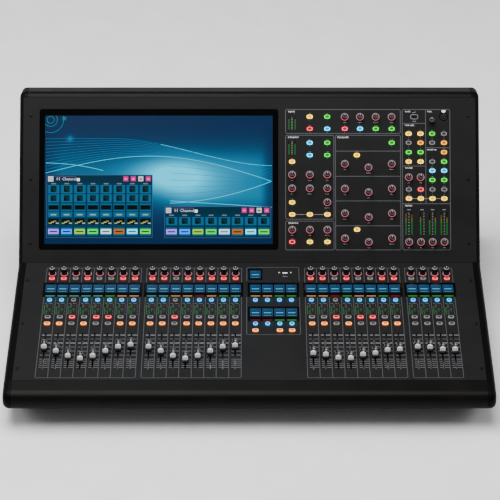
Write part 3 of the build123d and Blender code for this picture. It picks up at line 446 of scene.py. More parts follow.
def words_piece(name, plane, words, body, slot, code, material=None, glow=0.0, lift=0.0):
    """Printed words: each is (text, x, s, letter height), its letters made into a thin mesh."""
    points, faces, start = [], [], 0
    flip = -1 if plane is DECK else 1
    for text, x, s, height in words:
        curve = bpy.data.curves.new("word", "FONT")
        curve.body = text
        curve.size = height * 1.38
        curve.extrude = PRINT / 2
        curve.resolution_u = 1
        curve.align_x = "CENTER"
        curve.align_y = "CENTER"
        carrier = bpy.data.objects.new("word", curve)
        mesh = bpy.data.meshes.new_from_object(carrier)
        co = np.empty(len(mesh.vertices) * 3)
        mesh.vertices.foreach_get("co", co)
        co = co.reshape(-1, 3) * (1, flip, 1) + (x, s, PRINT / 2 + lift)
        points.append(co)
        faces.extend([[start + v for v in p.vertices] for p in mesh.polygons])
        start += len(co)
        bpy.data.objects.remove(carrier)
        bpy.data.curves.remove(curve)
        bpy.data.meshes.remove(mesh)
    points = np.concatenate(points)
    tint = np.tile(rgba(code, glow), (len(points), 1))
    return make_piece(name, place(plane, points), faces, body, slot, material or PRINTED_INK,
                      tint=tint, smooth=False)


# --- keys ----------------------------------------------------------------------------------

# per letter: colour and strength of the light at the rim, on the face and in the legend
KEY_TINTS = {"R": (("ff4c54", 3.2), ("ff2c40", 1.5), ("b01424", 0.5)),
             "B": (("40acff", 3.2), ("2898ff", 1.9), ("1c74e0", 1.0)),
             "O": (("ff9444", 4.4), ("ff8834", 2.6), ("e06420", 1.3)),
             "Y": (("ffcf34", 4.6), ("ffcc2b", 3.2), ("e0a820", 1.7)),
             "G": (("28ff28", 2.4), ("14f018", 1.1), ("0c9c10", 0.5)),
             "C": (("28ccff", 4.6), ("14bcff", 2.4), ("0c90d0", 1.2)),
             "P": (("ff4c6c", 3.0), ("ff2c50", 1.5), ("b81c38", 0.6)),
             "A": (("ffa424", 3.6), ("ffa01c", 1.8), ("c87410", 0.9)),
             "N": (("c8c8c8", 0.45), ("8c8c8c", 0.35), ("404042", 0.2))}
KEY_RISE = 3.0
KEY_AROUND = 20
GLOW_CODES = {"R": "4c1a1e", "B": "10283e", "O": "40220f", "Y": "3a320e", "G": "124216",
              "C": "0e343c", "P": "4a1622", "A": "3c2a0e", "N": "202022"}


def key_rings(size):
    """Key cap: a superellipse outline drawn in over a rounded edge to a face that dips slightly, with a
    legend patch in the middle; closed below."""
    wide, deep, power = size
    insets = [(0.5, -2.4), (1.0, -2.4), (1.0, KEY_RISE - 1.0), (0.97, KEY_RISE - 0.35),
              (0.88, KEY_RISE), (0.62, KEY_RISE - 0.12), (0.58, KEY_RISE - 0.12),
              (0.3, KEY_RISE - 0.14)]
    outline = superellipse(wide / 2, deep / 2, power, KEY_AROUND)
    rings = [np.hstack([outline * scale, np.full((KEY_AROUND, 1), rise)])
             for scale, rise in insets]
    return np.stack(rings)


def key_colours(letter):
    """Tints of a key's rings from the foot to the middle: rim, face, then the legend."""
    (rim, rim_light), (face, face_light), (legend, legend_light) = KEY_TINTS[letter]
    steps = [(rim, 0.05), (rim, 0.05), (rim, 0.5 * rim_light), (rim, rim_light), (rim, rim_light),
             (face, face_light), (legend, legend_light), (legend, legend_light)]
    rows = [np.tile(rgba(code, light), (KEY_AROUND, 1)) for code, light in steps]
    return np.concatenate([*rows, rgba(rim)[None], rgba(legend, legend_light)[None]])


def keys_piece(node, plane, size, letters):
    """All keys of one group, coloured by a string of letters in reading order."""
    spots = centres(plane, node)
    if len(spots) != len(letters):
        raise ValueError(f"{node} has {len(spots)} keys and {len(letters)} letters")
    tint = np.concatenate([key_colours(letter) for letter in letters])
    copies_piece(f"lit_{node}", plane, skin(key_rings(size)), spots, node,
                 node.removesuffix("_buttons") + "_key", LIT_SILICONE, [node], tint)
    return spots


# width, depth and the power of the outline
ASSIGN_KEY = (11.4, 7.8, 3.4)
LONG_KEY = (12.2, 8.2, 3.0)
ROUND_KEY = (9.8, 9.8, 2.1)
ASSIGN_LETTERS = "RRNRNNRR" "RRNRRRRR" "RRNRNNRR" "NNRR"
MUTE_LETTERS = "NNRNRRNN" "NNRNNNNN" "NNRNRRNN" "NNNN"
SOLO_LETTERS = "OONONNOO" "OONOOOOO" "OONONNOO" "NNNN" "OOO"
assign_spots = keys_piece("assign_buttons", DECK, ASSIGN_KEY, ASSIGN_LETTERS)
select_spots = keys_piece("select_buttons", DECK, ROUND_KEY,
                          "BBNBBBBB" "BBNBBBBB" "BBBB" "BBNBBBBB" "BBBB" "BBBB")
mute_spots = keys_piece("mute_buttons", DECK, LONG_KEY, MUTE_LETTERS)
solo_spots = keys_piece("solo_buttons", DECK, LONG_KEY, SOLO_LETTERS)
BRIDGE_LETTERS = ("YG" "RCPCGG" "YYGN" "CGGNANA" "GGA" "CGY" "YYYNG" "CC" "GG" "NRNN" "YYYY"
                  "Y" "YYY" "Y" "RYY")
bridge_spots = keys_piece("bridge_buttons", BRIDGE, LONG_KEY, BRIDGE_LETTERS)


# --- knobs ---------------------------------------------------------------------------------

KNOB_FOOT = 0.7
KNOB_HEIGHT = 15.0
KNOB_PROFILE = [(2.5, 0.0, 0), (5.9, 0.0, 0), (6.0, 0.3, 0), (6.0, 1.6, 0), (5.75, 2.0, 1),
                (5.35, 12.6, 1), (5.3, 13.2, 0), (5.1, 14.1, 0), (4.6, 14.75, 0),
                (4.1, 14.95, 0), (3.7, 14.8, 0), (1.6, 14.55, 0)]
KNOB_AROUND = 40


def knob_shape():
    """Tapered knob: a plain skirt, a fluted grip and a bevelled top with a shallow dish."""
    rings = turned(KNOB_PROFILE, KNOB_AROUND, flute=0.35, flutes=20)
    return skin(rings + (0, 0, KNOB_FOOT))


def knob_tint_with_highlight(rim):
    """Tints of a knob's rings: black grip, a painted highlight on the top bevel in a given grey that
    fades over the top's edge, and a slightly lighter top.
    """
    # the rim grey on the top bevel is a painted highlight, fading through two darker rings over the
    # top's edge
    codes = ["0c0c0d"] * 7 + [rim, rim, "3c3c40", "17171a", "121214", "0c0c0d", "121214"]
    rows = [np.tile(rgba(code), (KNOB_AROUND, 1)) for code in codes[:12]]
    return np.concatenate([*rows, rgba(codes[12])[None], rgba(codes[13])[None]])


def knobs_piece(name, plane, spots, body, stands_for, rim):
    """Knobs at several places of one plane, in one mesh, with a painted highlight of the given grey on
    each rim.
    """
    copies_piece(name, plane, knob_shape(), spots, body, "knob_plastic", KNOB_LACQUER,
                 stands_for, np.tile(knob_tint_with_highlight(rim), (len(spots), 1)), sharp=50)


def pointers_piece(name, plane, spots, body):
    """Raised pointer line on each knob's top, from near the middle to the rim."""
    plates = Plates(plane)
    toward = -1 if plane is DECK else 1
    top = KNOB_FOOT + KNOB_HEIGHT - 0.5
    for x, s in spots:
        plates.put(x, s + toward * 2.6, 0.9, 2.6, "c8c8c8", 0.0, top, 0.45)
    plates.piece(name, body, "knob_plastic", PRINTED_INK)


LED_RING_OUTSIDE = 7.9
LED_RING_GLOW = 6.4
LED_RING = [(6.3, 0.0, 0), (6.3, 0.5, 0), (6.6, 0.85, 0), (7.4, 0.85, 0), (7.8, 0.5, 0),
            (LED_RING_OUTSIDE, 0.0, 0)]


def ring_skin(profile, around):
    """Closed ring: a profile turned round and joined from its last point to its first."""
    rings = turned(profile, around)
    count = len(profile)
    row = np.arange(count)[:, None] * around
    next_row = np.roll(np.arange(count), -1)[:, None] * around
    ring = np.arange(around)
    after = np.roll(ring, -1)
    quads = np.stack([row + ring, next_row + ring, next_row + after, row + after], axis=-1)
    return rings.reshape(-1, 3), quads.reshape(-1, 4).tolist()


def led_rings_piece(name, plane, spots, body, front):
    """Light ring round each knob, warmer towards one side, over a dim glow on its inside."""
    points, faces = ring_skin(LED_RING, 36)
    lean = 0.5 + 0.5 * front * points[:, 1] / LED_RING_OUTSIDE
    cool, warm = rgba("ffd1d9", 0.42), rgba("ff6e86", 0.8)
    tint = cool + lean[:, None] * (warm - cool)
    inner = points[:, 0] ** 2 + points[:, 1] ** 2 < LED_RING_GLOW ** 2
    tint[inner] = rgba("ff2c58", 0.1)
    copies_piece(name, plane, (points, faces), spots, body, "knob_plastic", LIT_DISPLAY, (),
                 np.tile(tint, (len(spots), 1)))


def knob_centres(plane, height):
    """Centres of the fixed knobs that stand on one plane, from their tops."""
    flat = flat_of(plane, "encoder_knobs")
    flat = flat[(flat[:, 2] > height - 0.6) & (flat[:, 2] < height + 0.9)]
    groups = [flat]
    for axis in (0, 1, 0, 1):
        groups = [part for group in groups for part in split(group, axis, 8.0)]
    groups = [g for g in groups if len(g) > 8 and np.ptp(g[:, 0]) < 14 and np.ptp(g[:, 1]) < 14]
    return np.array([(g[:, :2].min(0) + g[:, :2].max(0)) / 2 for g in groups])


def one_centre(plane, node):
    """Centre (x, s) of a node that stands on a plane."""
    flat = flat_of(plane, node)
    return (flat[:, :2].min(0) + flat[:, :2].max(0)) / 2


deck_knobs = knob_centres(DECK, KNOB_FOOT + KNOB_HEIGHT - 0.1)
bridge_knobs = knob_centres(BRIDGE, KNOB_FOOT + KNOB_HEIGHT - 0.1)
# each knob's rim grey is a painted highlight, lighter on the deck's knobs than on the bridge's, though
# all are the same knobs
knobs_piece("deck_knobs", DECK, deck_knobs, "console", ["encoder_knobs"], "9c9ca0")
knobs_piece("bridge_knobs", BRIDGE, bridge_knobs, "console", ["encoder_knobs"], "606066")
pointers_piece("deck_knob_pointers", DECK, deck_knobs, "console")
pointers_piece("bridge_knob_pointers", BRIDGE, bridge_knobs, "console")
phones_knobs = []
for node in ("phones_a_knob", "phones_b_knob", "talkback_level_knob"):
    spot = one_centre(BRIDGE, node)[None]
    # rim in the bridge's painted highlight grey
    knobs_piece(f"turned_{node}", BRIDGE, spot, node, [node], "606066")
    pointers_piece(f"{node}_pointer", BRIDGE, spot, node)
    if node != "talkback_level_knob":
        phones_knobs.append(spot)
led_rings_piece("deck_light_rings", DECK, deck_knobs, "console", 1)
ringed = np.concatenate([bridge_knobs, *phones_knobs])
led_rings_piece("bridge_light_rings", BRIDGE, ringed, "console", -1)


# --- faders --------------------------------------------------------------------------------

CAP_FOOT = 0.8
CAP_HALF_LONG = 12.5
CAP_HALF_WIDE = 5.75
CAP_TOP = 13.0
CAP_ROWS = 44
CAP_COLUMNS = 18
TANG = ((-0.8, -4.0, -9.5), (0.8, 4.0, 6.0))
CARRIAGE = ((-4.0, -7.0, -13.0), (4.0, 7.0, -7.3))
FADERS = 28


def smooth_step(value):
    """0 below 0, 1 above 1, and 3 t^2 - 2 t^3 between."""
    value = np.clip(value, 0, 1)
    return value * value * (3 - 2 * value)


def cap_height(x, y):
    """Height of a fader cap: skirt, raked ends, bevelled sides, and a finger bowl sunk by a
    paraboloid between the crests."""
    front = smooth_step((y + CAP_HALF_LONG) / 4.6)
    rear = smooth_step((CAP_HALF_LONG - y) / 4.4)
    body = 2.6 + (CAP_TOP - 2.6) * np.minimum(front, rear) ** 0.8
    side = 1.5 * smooth_step((np.abs(x) - 4.7) / (CAP_HALF_WIDE - 4.7)) ** 2
    bowl = 3.6 * np.clip(1 - (x / 7.4) ** 2 - (y / 7.6) ** 2, 0, 1)
    return body - side - bowl


def cap_shape():
    """Cap as a grid over its plan, closed by straight walls and a flat foot."""
    y = np.concatenate([[-CAP_HALF_LONG], np.linspace(-12.3, 12.3, CAP_ROWS), [CAP_HALF_LONG]])
    x = np.concatenate([[-CAP_HALF_WIDE], np.linspace(-5.55, 5.55, CAP_COLUMNS),
                        [CAP_HALF_WIDE]])
    grid_x, grid_y = np.meshgrid(x, y)
    height = cap_height(grid_x, grid_y)
    edge = (np.abs(grid_x) == CAP_HALF_WIDE) | (np.abs(grid_y) == CAP_HALF_LONG)
    height[edge] -= 0.25
    top = np.stack([grid_x, grid_y, height + CAP_FOOT], axis=-1)
    bottom = top.copy()
    bottom[..., 2] = CAP_FOOT
    rows, columns = grid_x.shape
    r, c = np.meshgrid(np.arange(rows - 1), np.arange(columns - 1), indexing="ij")
    first = (r * columns + c).ravel()
    quads = np.stack([first, first + 1, first + columns + 1, first + columns], axis=1)
    under = quads[:, ::-1] + rows * columns
    border = np.concatenate([np.arange(columns - 1), np.arange(rows - 1) * columns + columns - 1,
                             (rows - 1) * columns + np.arange(columns - 1, 0, -1),
                             np.arange(rows - 1, 0, -1) * columns])
    after = np.roll(border, -1)
    walls = np.stack([border, border + rows * columns, after + rows * columns, after], axis=1)
    points = np.concatenate([top.reshape(-1, 3), bottom.reshape(-1, 3)])
    return points, [*quads.tolist(), *under.tolist(), *walls.tolist()]


def block(low, high):
    """Closed box between two corners."""
    low, high = np.array(low, float), np.array(high, float)
    signs = np.array([(0, 0, 0), (1, 0, 0), (1, 1, 0), (0, 1, 0),
                      (0, 0, 1), (1, 0, 1), (1, 1, 1), (0, 1, 1)])
    return low + signs * (high - low), [list(face) for face in CUBE_FACES]


def cap_tint_with_highlights(points):
    """Cap tints by place, black, with painted highlights: light grey on the upper front rake, a light
    patch in the finger bowl that fades outwards behind a band of black, and thin light edges along the
    rear half."""
    tint = np.tile(rgba("070708"), (len(points), 1))
    x, y, z = points.T
    on_top = z > CAP_FOOT + 0.5
    # painted highlight: the soft boxes' reflection on the far slope of the finger bowl, fading outwards
    bowl_highlight = np.clip(1.7 - 1.7 * (x / 3.9) ** 2 - 1.7 * ((y + 3.6) / 3.3) ** 2, 0, 1)
    lit = on_top & (y > -6.4)
    tint[lit, :3] += bowl_highlight[lit, None] * linear("e4e4e4")[0]
    # painted highlight, light grey on the upper part of the front rake
    tint[on_top & (y < -7.6) & (z > CAP_FOOT + 7.0) & (np.abs(x) < 5.7)] = rgba("c0c0c2")
    # painted highlights, thin light edges along the sides of the rear half
    tint[on_top & (y > 0.5) & (y < 11.4) & (np.abs(x) > 5.0)] = rgba("6c6c6e")
    return tint


def fader_piece(number):
    """Cap with its tang and carriage, at one fader's place."""
    node = f"fader_{number:02d}"
    x, s = one_centre(DECK, node)
    shapes = [cap_shape(), block(*TANG), block(*CARRIAGE)]
    points, faces, start = [], [], 0
    for shape, its_faces in shapes:
        points.append(shape)
        faces.extend([[start + v for v in face] for face in its_faces])
        start += len(shape)
    points = np.concatenate(points)
    tint = cap_tint_with_highlights(points)
    # the cap's y runs up the deck and the deck's own distance runs down it
    points = points * (1, -1, 1) + (x, s, 0)
    make_piece(f"cap_{node}", place(DECK, points), faces, node, "fader_plastic", CAP_ABS,
               [node], tint, sharp=40)
    return x


fader_columns = np.array([fader_piece(number) for number in range(1, FADERS + 1)])


# --- deck print, displays and meters ---------------------------------------------------------

LINE = 1.2
LINE_CODE = "424347"
FRAME_TOP = 19.0
FRAME_END = 368.9
PITCH = fader_columns[1] - fader_columns[0]
banks = np.split(fader_columns, np.nonzero(np.diff(fader_columns) > 1.2 * PITCH)[0] + 1)
centre_columns = select_spots[32:, 0]
glass = flat_of(DECK, "strip_display_windows")
glass_rows = np.unique(np.round(glass[:, 1], 2)).reshape(3, 2)
small_glass = glass[np.abs(glass[:, 1] - glass_rows[0, 0]) < 0.1]
GLASS_TOP, GLASS_END = glass_rows[1]


def deck_frames():
    """Printed frames: an arch over each bank to the glass, its return below, and a line
    between neighbouring channels, broken by the glass."""
    paths = []
    for bank in banks:
        x0, x1 = bank[0] - PITCH / 2, bank[-1] + PITCH / 2
        paths.append((arch(x0, x1, GLASS_TOP - 1.0, FRAME_TOP), False))
        paths.append((arch(x0, x1, GLASS_END + 1.0, FRAME_END), False))
        for x in (bank[:-1] + bank[1:]) / 2:
            paths.append(([(x, FRAME_TOP + 1), (x, GLASS_TOP - 1.0)], False))
            paths.append(([(x, GLASS_END + 1.0), (x, FRAME_END - 1)], False))
    x0, x1 = centre_columns[0] - PITCH * 0.72, centre_columns[-1] + PITCH * 0.68
    paths.append((arch(x0, x1, GLASS_TOP - 6.5, FRAME_TOP - 2.0), False))
    paths.append((arch(x0, x1, GLASS_END + 1.0, 236.0), False))
    lines_piece("deck_frames", DECK, paths, "console", "panel_paint", LINE_CODE, LINE)


LED_CODES = {"T": ("5affec", 0.42), "U": ("ffb468", 0.8), "G": ("53ff53", 0.4),
             "R": ("ff1830", 0.3)}
FIRST_LEDS = "TTTTTGUU" "TTUURUGT" "UUGG" "UURGUUGR" "GGGG"
SECOND_LEDS = "RRGG"


def strip_displays(plates, columns, top, leds):
    """Small displays behind one window: a bright frame, the picture, a name line and the
    light bar under it."""
    for x, led in zip(columns, leds):
        small_display(plates, x, top + 6.2, top + 31.0)
        code, light = LED_CODES[led]
        plates.box(x - 9.4, top + 42.2, x + 9.4, top + 44.6, code, light)


def small_display(plates, x, start, end):
    """One small display: a lighter border, a blue field with two faint lines, a bright name
    line in the middle, a darker band under it and a light line at the foot."""
    plates.box(x - 10.6, start, x + 10.6, end, "58b0ff", 0.2)
    plates.box(x - 9.7, start + 0.9, x + 9.7, end - 0.9, "38a4ff", 0.1, PRINT, PRINT)
    plates.box(x - 8.4, start + 3.0, x + 2.5, start + 4.6, "60b8ff", 0.2, 2 * PRINT)
    plates.box(x - 8.4, start + 7.4, x + 7.0, start + 8.6, "50b0ff", 0.15, 2 * PRINT)
    plates.box(x - 7.4, start + 12.4, x + 7.4, start + 15.2, "60d8ff", 0.75, 2 * PRINT)
    plates.box(x - 9.7, start + 17.6, x + 9.7, end - 5.0, "28a4ff", 0.035, 2 * PRINT)
    plates.box(x - 7.6, end - 3.6, x + 7.6, end - 1.8, "80d0ff", 0.36, 2 * PRINT)


def deck_displays():
    """Every small display and light bar of the deck."""
    plates = Plates(DECK)
    columns = select_spots[:32, 0]
    strip_displays(plates, columns, GLASS_TOP, FIRST_LEDS)
    strip_displays(plates, centre_columns, glass_rows[2, 0], SECOND_LEDS)
    x = (small_glass[:, 0].min() + small_glass[:, 0].max()) / 2
    top = glass_rows[0, 0] + 6.0
    small_display(plates, x, top, top + 25.0)
    plates.piece("deck_displays", "console", "window_glass", LIT_DISPLAY)


METER_TOP = 139.0
METER_END = 172.0
SEGMENT = 1.25
METER_LEVELS = [0.92, 0.8, 0.86, 0.74, 0.9, 0.7, 0.82, 0.88]


def segments(plates, x, start, end, lit, wide, codes, direction):
    """Row of light segments from start to end: those up to lit shine in the colours given
    by (share of the length, code), the rest are dark."""
    count = int(abs(end - start) / SEGMENT)
    for index in range(count):
        s = start + direction * (index + 0.5) * SEGMENT
        share = (index + 0.5) / count
        code = next(code for limit, code in codes if share <= limit)
        on = share <= lit
        plates.put(x, s, wide, SEGMENT * 0.74, code if on else "202824", 0.2 if on else 0.0)


GREENS = [(0.82, "30ff50"), (0.92, "c0ff40"), (1.0, "ffa850")]


def deck_meters():
    """Channel meters: level bar, its scale, the gain-reduction bar and their labels."""
    lights = Plates(DECK)
    inks = Plates(DECK)
    for index, x in enumerate(fader_columns):
        level = METER_LEVELS[index % len(METER_LEVELS)]
        segments(lights, x - 8.7, METER_END, METER_TOP, level, 1.9, GREENS, -1)
        lights.box(x + 1.4, METER_TOP + 3.0, x + 3.4, METER_TOP + 5.4, "ff8038", 0.16)
        lights.box(x + 1.2, METER_TOP + 12.0, x + 2.6, METER_TOP + 24.0, "30ff50", 0.12)
        lights.box(x - 2.4, METER_TOP + 15.4, x + 1.4, METER_TOP + 16.6, "60ff80", 0.16)
        inks.box(x - 9.0, METER_TOP - 3.4, x - 4.4, METER_TOP - 2.0, "525254")
        inks.box(x - 1.0, METER_TOP - 3.4, x + 6.8, METER_TOP - 2.0, "525254")
        inks.box(x + 2.4, METER_TOP + 15.5, x + 5.2, METER_TOP + 16.5, "525254")
        rows = METER_TOP + np.array([0.5, 4.0, 7.5, 11.0, 20.0, 24.0, 28.0, 32.0])
        inks.put(x - 4.6, rows, 2.6, 0.7, "5a5a5c")
        rows = METER_TOP + np.array([0.5, 4.5, 8.5, 12.5, 19.5, 24.0, 28.5, 32.5])
        inks.put(x + 8.0, rows, 1.8, 0.8, "606062")
        inks.box(x - 2.95, METER_TOP, x - 2.45, METER_TOP + 12.0, "48484a")
        inks.box(x - 2.95, METER_TOP + 19.0, x - 2.45, METER_END, "48484a")
    lights.piece("deck_meters", "console", "window_glass", LIT_DISPLAY)
    return inks


TICKS = [0.0, 12.4, 24.9, 37.4, 49.9, 62.4, 74.9, 81.2, 87.4, 93.7, 100.0]
TICK_CODES = ["a0a0a4", "5c5c5e", "a8a8ac"] + ["6a6a6c"] * 8


def deck_ticks(inks):
    """Level marks beside each fader's slot, one pair per step of the scale."""
    rest = next(j for j in frame["joints"] if j["name"] == "fader_01_slide")["range_m"][1] / MM
    zero = one_centre(DECK, "fader_01")[1] - rest
    for x in fader_columns:
        for tick, code in zip(TICKS, TICK_CODES):
            inks.box(x - 7.5, zero + tick - 0.5, x - 1.7, zero + tick + 0.5, code)
            inks.box(x + 2.0, zero + tick - 0.5, x + 11.4, zero + tick + 0.5, code)
    inks.piece("deck_scales", "console", "panel_paint", PRINTED_INK)


def key_glow(name, plane, spots, letters, half_wide, half_deep, power):
    """Dim light of each key on the panel round it: a thin superellipse under the key."""
    rings = []
    for scale, rise in ((0.9, 0.004), (1.0, 0.004), (1.0, 0.02), (0.9, 0.02)):
        outline = superellipse(half_wide * scale, half_deep * scale, power, KEY_AROUND)
        rings.append(np.hstack([outline, np.full((KEY_AROUND, 1), rise)]))
    points, faces = skin(np.stack(rings))
    tint = np.repeat([rgba(GLOW_CODES[letter], 1.0) for letter in letters], len(points), axis=0)
    copies_piece(name, plane, (points, faces), spots, "console", "panel_paint", LIT_DISPLAY,
                 tint=tint, smooth=False)


def studs_piece(name, plane, spots, radius, rise, slot, material):
    """Low domed heads: a short wall, an eased edge and a crown, turned round."""
    profile = [(radius, 0.0, 0), (radius, 0.55 * rise, 0), (0.8 * radius, 0.9 * rise, 0),
               (0.35 * radius, rise, 0)]
    points, faces = skin(turned(profile, 16))
    tint = np.tile(rgba("b8b8ba"), (len(spots) * len(points), 1))
    copies_piece(name, plane, (points, faces), spots, "console", slot, material, tint=tint)


DECK_PORT = (73.6, 34.5)
KEY_WORDS = ("ON", "IN", "SEL", "A", "B", "SOLO", "MUTE", "CUE")


def deck_port():
    """What surrounds the deck's data socket: two screws, its light tongue and its label."""
    x, s = DECK_PORT
    studs_piece("deck_port_screws", DECK, [(x - 12.0, s), (x + 12.0, s)], 1.7, 0.7, "screw_steel",
                PRINTED_INK)
    tongue = Plates(DECK)
    tongue.box(x - 5.0, s - 1.5, x + 5.0, s + 1.5, "f0f0f0", 0.0, -2.6, 2.0)
    tongue.piece("deck_port_tongue", "console", "socket_plastic", PRINTED_INK)
    words_piece("deck_port_label", DECK, [("MEDIA", x, s + 12.5, 2.4)], "console", "panel_paint",
                "a0a0a4")


key_glow("assign_key_glow", DECK, assign_spots, ASSIGN_LETTERS, 8.0, 6.2, 3.5)
key_glow("select_key_glow", DECK, select_spots,
         "CCNCCGCC" "CCNCCBCC" "BCBC" "BCNCCCBC" "BCBC" "BCBC", 11.0, 8.2, 5.0)
key_glow("mute_key_glow", DECK, mute_spots, MUTE_LETTERS, 8.4, 6.6, 3.5)
key_glow("solo_key_glow", DECK, solo_spots, SOLO_LETTERS, 8.4, 6.6, 3.5)
key_glow("bridge_key_glow", BRIDGE, bridge_spots, BRIDGE_LETTERS, 8.8, 7.0, 3.0)
deck_port()
deck_frames()
deck_displays()
deck_ticks(deck_meters())


# --- bridge print, meters and labels -----------------------------------------------------------

SECTIONS = [(75.5, 270.5, 315.5, 320.9), (75.5, 90.5, 176.3, 266.6), (75.5, 26.3, 176.3, 86.4),
            (179.6, 26.3, 315.5, 266.6), (319.4, 26.3, 419.0, 320.9)]
DIVIDERS = [(179.6, 233.3, 315.5, 233.3), (179.6, 180.4, 315.5, 180.4),
            (179.6, 128.8, 315.5, 128.8), (179.6, 76.7, 315.5, 76.7),
            (319.4, 291.6, 368.2, 291.6), (319.4, 201.9, 368.2, 201.9),
            (319.4, 122.9, 419.0, 122.9), (368.2, 240.4, 419.0, 240.4),
            (368.2, 122.9, 368.2, 320.9)]
HEADINGS = [("INPUT", 88.5, 316.0, 3.6), ("DYNAMICS", 92.0, 262.2, 3.4),
            ("MAIN BUS", 91.5, 82.2, 3.2), ("EQUALISER", 195.5, 262.2, 3.4),
            ("DATA", 331.0, 316.4, 3.0), ("TALK", 376.5, 316.4, 3.0),
            ("USER KEYS", 334.5, 287.4, 3.0), ("PHONES", 333.0, 197.8, 3.0),
            ("MONITOR", 381.0, 236.0, 3.0), ("METERS", 332.0, 118.6, 3.2)]
KNOB_LABELS = ["GAIN", "PAD", "HPF", "TRIM", "THRESH", "RATIO", "ATTACK", "RELEASE", "HOLD",
               "FREQ", "WIDTH", "LEVEL", "PAN", "MIX"]


def bridge_frames():
    """Section frames and their dividers, printed on the bridge."""
    paths = [(rounded(*box), True) for box in SECTIONS]
    paths += [([(x0, s0), (x1, s1)], False) for x0, s0, x1, s1 in DIVIDERS]
    lines_piece("bridge_frames", BRIDGE, paths, "console", "panel_paint", "505156", 1.2)


def bridge_labels():
    """Section headings, and a small generic word under each knob and key."""
    words_piece("bridge_headings", BRIDGE, HEADINGS, "console", "panel_paint", "f4f4f6")
    small = []
    for index, (x, s) in enumerate(np.concatenate([bridge_knobs, *phones_knobs])):
        small.append((KNOB_LABELS[index % len(KNOB_LABELS)], x, s - 12.2, 2.0))
    words_piece("bridge_knob_labels", BRIDGE, small, "console", "panel_paint", "b4b4b8")
    keys = []
    for index, (x, s) in enumerate(bridge_spots):
        keys.append((KEY_WORDS[index % len(KEY_WORDS)], x, s + 7.0, 1.6))
    words_piece("bridge_key_labels", BRIDGE, keys, "console", "panel_paint", "98989c")


def bridge_meters():
    """Level bars with their scales: input, dynamics and the main meters."""
    lights = Plates(BRIDGE)
    inks = Plates(BRIDGE)
    for x in (82.6, 95.7):
        segments(lights, x, 279.0, 305.0, 0.86, 2.4, GREENS, 1)
    for x in (82.6, 95.3):
        segments(lights, x, 226.0, 255.0, 0.8, 2.2, GREENS, 1)
    orange = [(0.56, "30ff50"), (0.7, "c0ff40"), (1.0, "ffa040")]
    tops = [104, 101, 97, 89, 95, 100, 95]
    for x, top in zip((326.4, 338.6, 356.7, 375.4, 387.3, 399.8, 411.6), tops):
        segments(lights, x, 58.0, 106.6, (top - 58.0) / 48.6, 2.4, orange, 1)
    lights.piece("bridge_meters", "console", "window_glass", LIT_DISPLAY)
    for x, low, high in ((89.0, 279.0, 305.0), (89.0, 226.0, 255.0), (332.4, 58.0, 106.6),
                         (363.6, 58.0, 106.6), (381.7, 58.0, 106.6), (406.0, 58.0, 106.6)):
        marks = np.arange(low + 1, high, (high - low) / 8)
        inks.put(x, marks, 3.2, 0.6, "8c8c90")
        inks.put(x, (low + high) / 2, 0.5, high - low, "606064")
    for x in (332.4, 360.0, 381.7, 406.0):
        inks.put(x, 110.4, 7.0, 1.2, "8c8c90")
    link = "8c8c90"
    inks.box(133.5, 99.9, 155.0, 100.7, link)
    inks.box(97.0, 99.9, 118.0, 100.7, link)
    for x in (344.9, 369.4, 393.9):
        inks.put(x, 133.6, 10.0, 0.8, link)
    for x, s in bridge_spots:
        inks.put(x, s - 6.6, 0.8, 2.0, "808084")
    inks.piece("bridge_scales", "console", "panel_paint", PRINTED_INK)


TALK_SOCKET = (406.0, 306.0)
BRIDGE_PORT = (344.6, 305.5)


def bridge_ports():
    """Latch tab of the talkback socket, and the outline, symbol and label of the data socket."""
    x, s = TALK_SOCKET
    tab = Plates(BRIDGE)
    tab.box(x - 4.0, s + 9.6, x + 4.0, s + 13.2, "f0f0f0", 0.0, 0.0, 0.9)
    tab.box(x - 2.2, s + 8.2, x + 2.2, s + 9.6, "f0f0f0", 0.0, 0.0, 0.9)
    tab.piece("talkback_latch_tab", "console", "socket_plastic", PRINTED_INK)
    x, s = BRIDGE_PORT
    outline = rounded(x - 7.6, s - 4.6, x + 7.6, s + 4.6, 3.6)
    symbol = [(x - 4.0, s + 8.6), (x - 0.5, s + 8.6), (x + 1.5, s + 10.2), (x + 4.0, s + 10.2)]
    lines_piece("bridge_port_outline", BRIDGE, [(outline, True), (symbol, False)], "console",
                "panel_paint", "a0a0a4", 0.7)
    words_piece("bridge_port_label", BRIDGE, [("MEDIA", x, s - 9.8, 2.0)], "console",
                "panel_paint", "a0a0a4")


bridge_frames()
bridge_labels()
bridge_meters()
bridge_ports()


# --- main screen ---------------------------------------------------------------------------

def screen_box():
    """Corners (x low, s low, x high, s high) of the main screen's glass."""
    flat = flat_of(BRIDGE, "display_glass")
    return (*flat[:, :2].min(0), *flat[:, :2].max(0))


GLASS_X0, GLASS_S0, GLASS_X1, GLASS_S1 = screen_box()
BEZEL = (11.5, 11.9, 11.5, 14.3)
PICTURE = (GLASS_X0 + BEZEL[0], GLASS_S0 + BEZEL[1], GLASS_X1 - BEZEL[2], GLASS_S1 - BEZEL[3])


def screen_glass():
    """Cover glass: a rounded slab whose front edge is eased by a tenth of a millimetre."""
    rings = []
    for inset, rise in ((0.0, -2.9), (0.0, -0.25), (0.12, -0.05), (0.3, 0.0)):
        path = rounded(GLASS_X0 + inset, GLASS_S0 + inset, GLASS_X1 - inset, GLASS_S1 - inset,
                       6.0 - inset)
        rings.append(np.hstack([path, np.full((len(path), 1), rise)]))
    points, faces = skin(np.stack(rings))
    make_piece("screen_glass", place(BRIDGE, points), faces, "console", "screen_glass",
               MASK_GLASS, ["display_glass"], smooth=False)


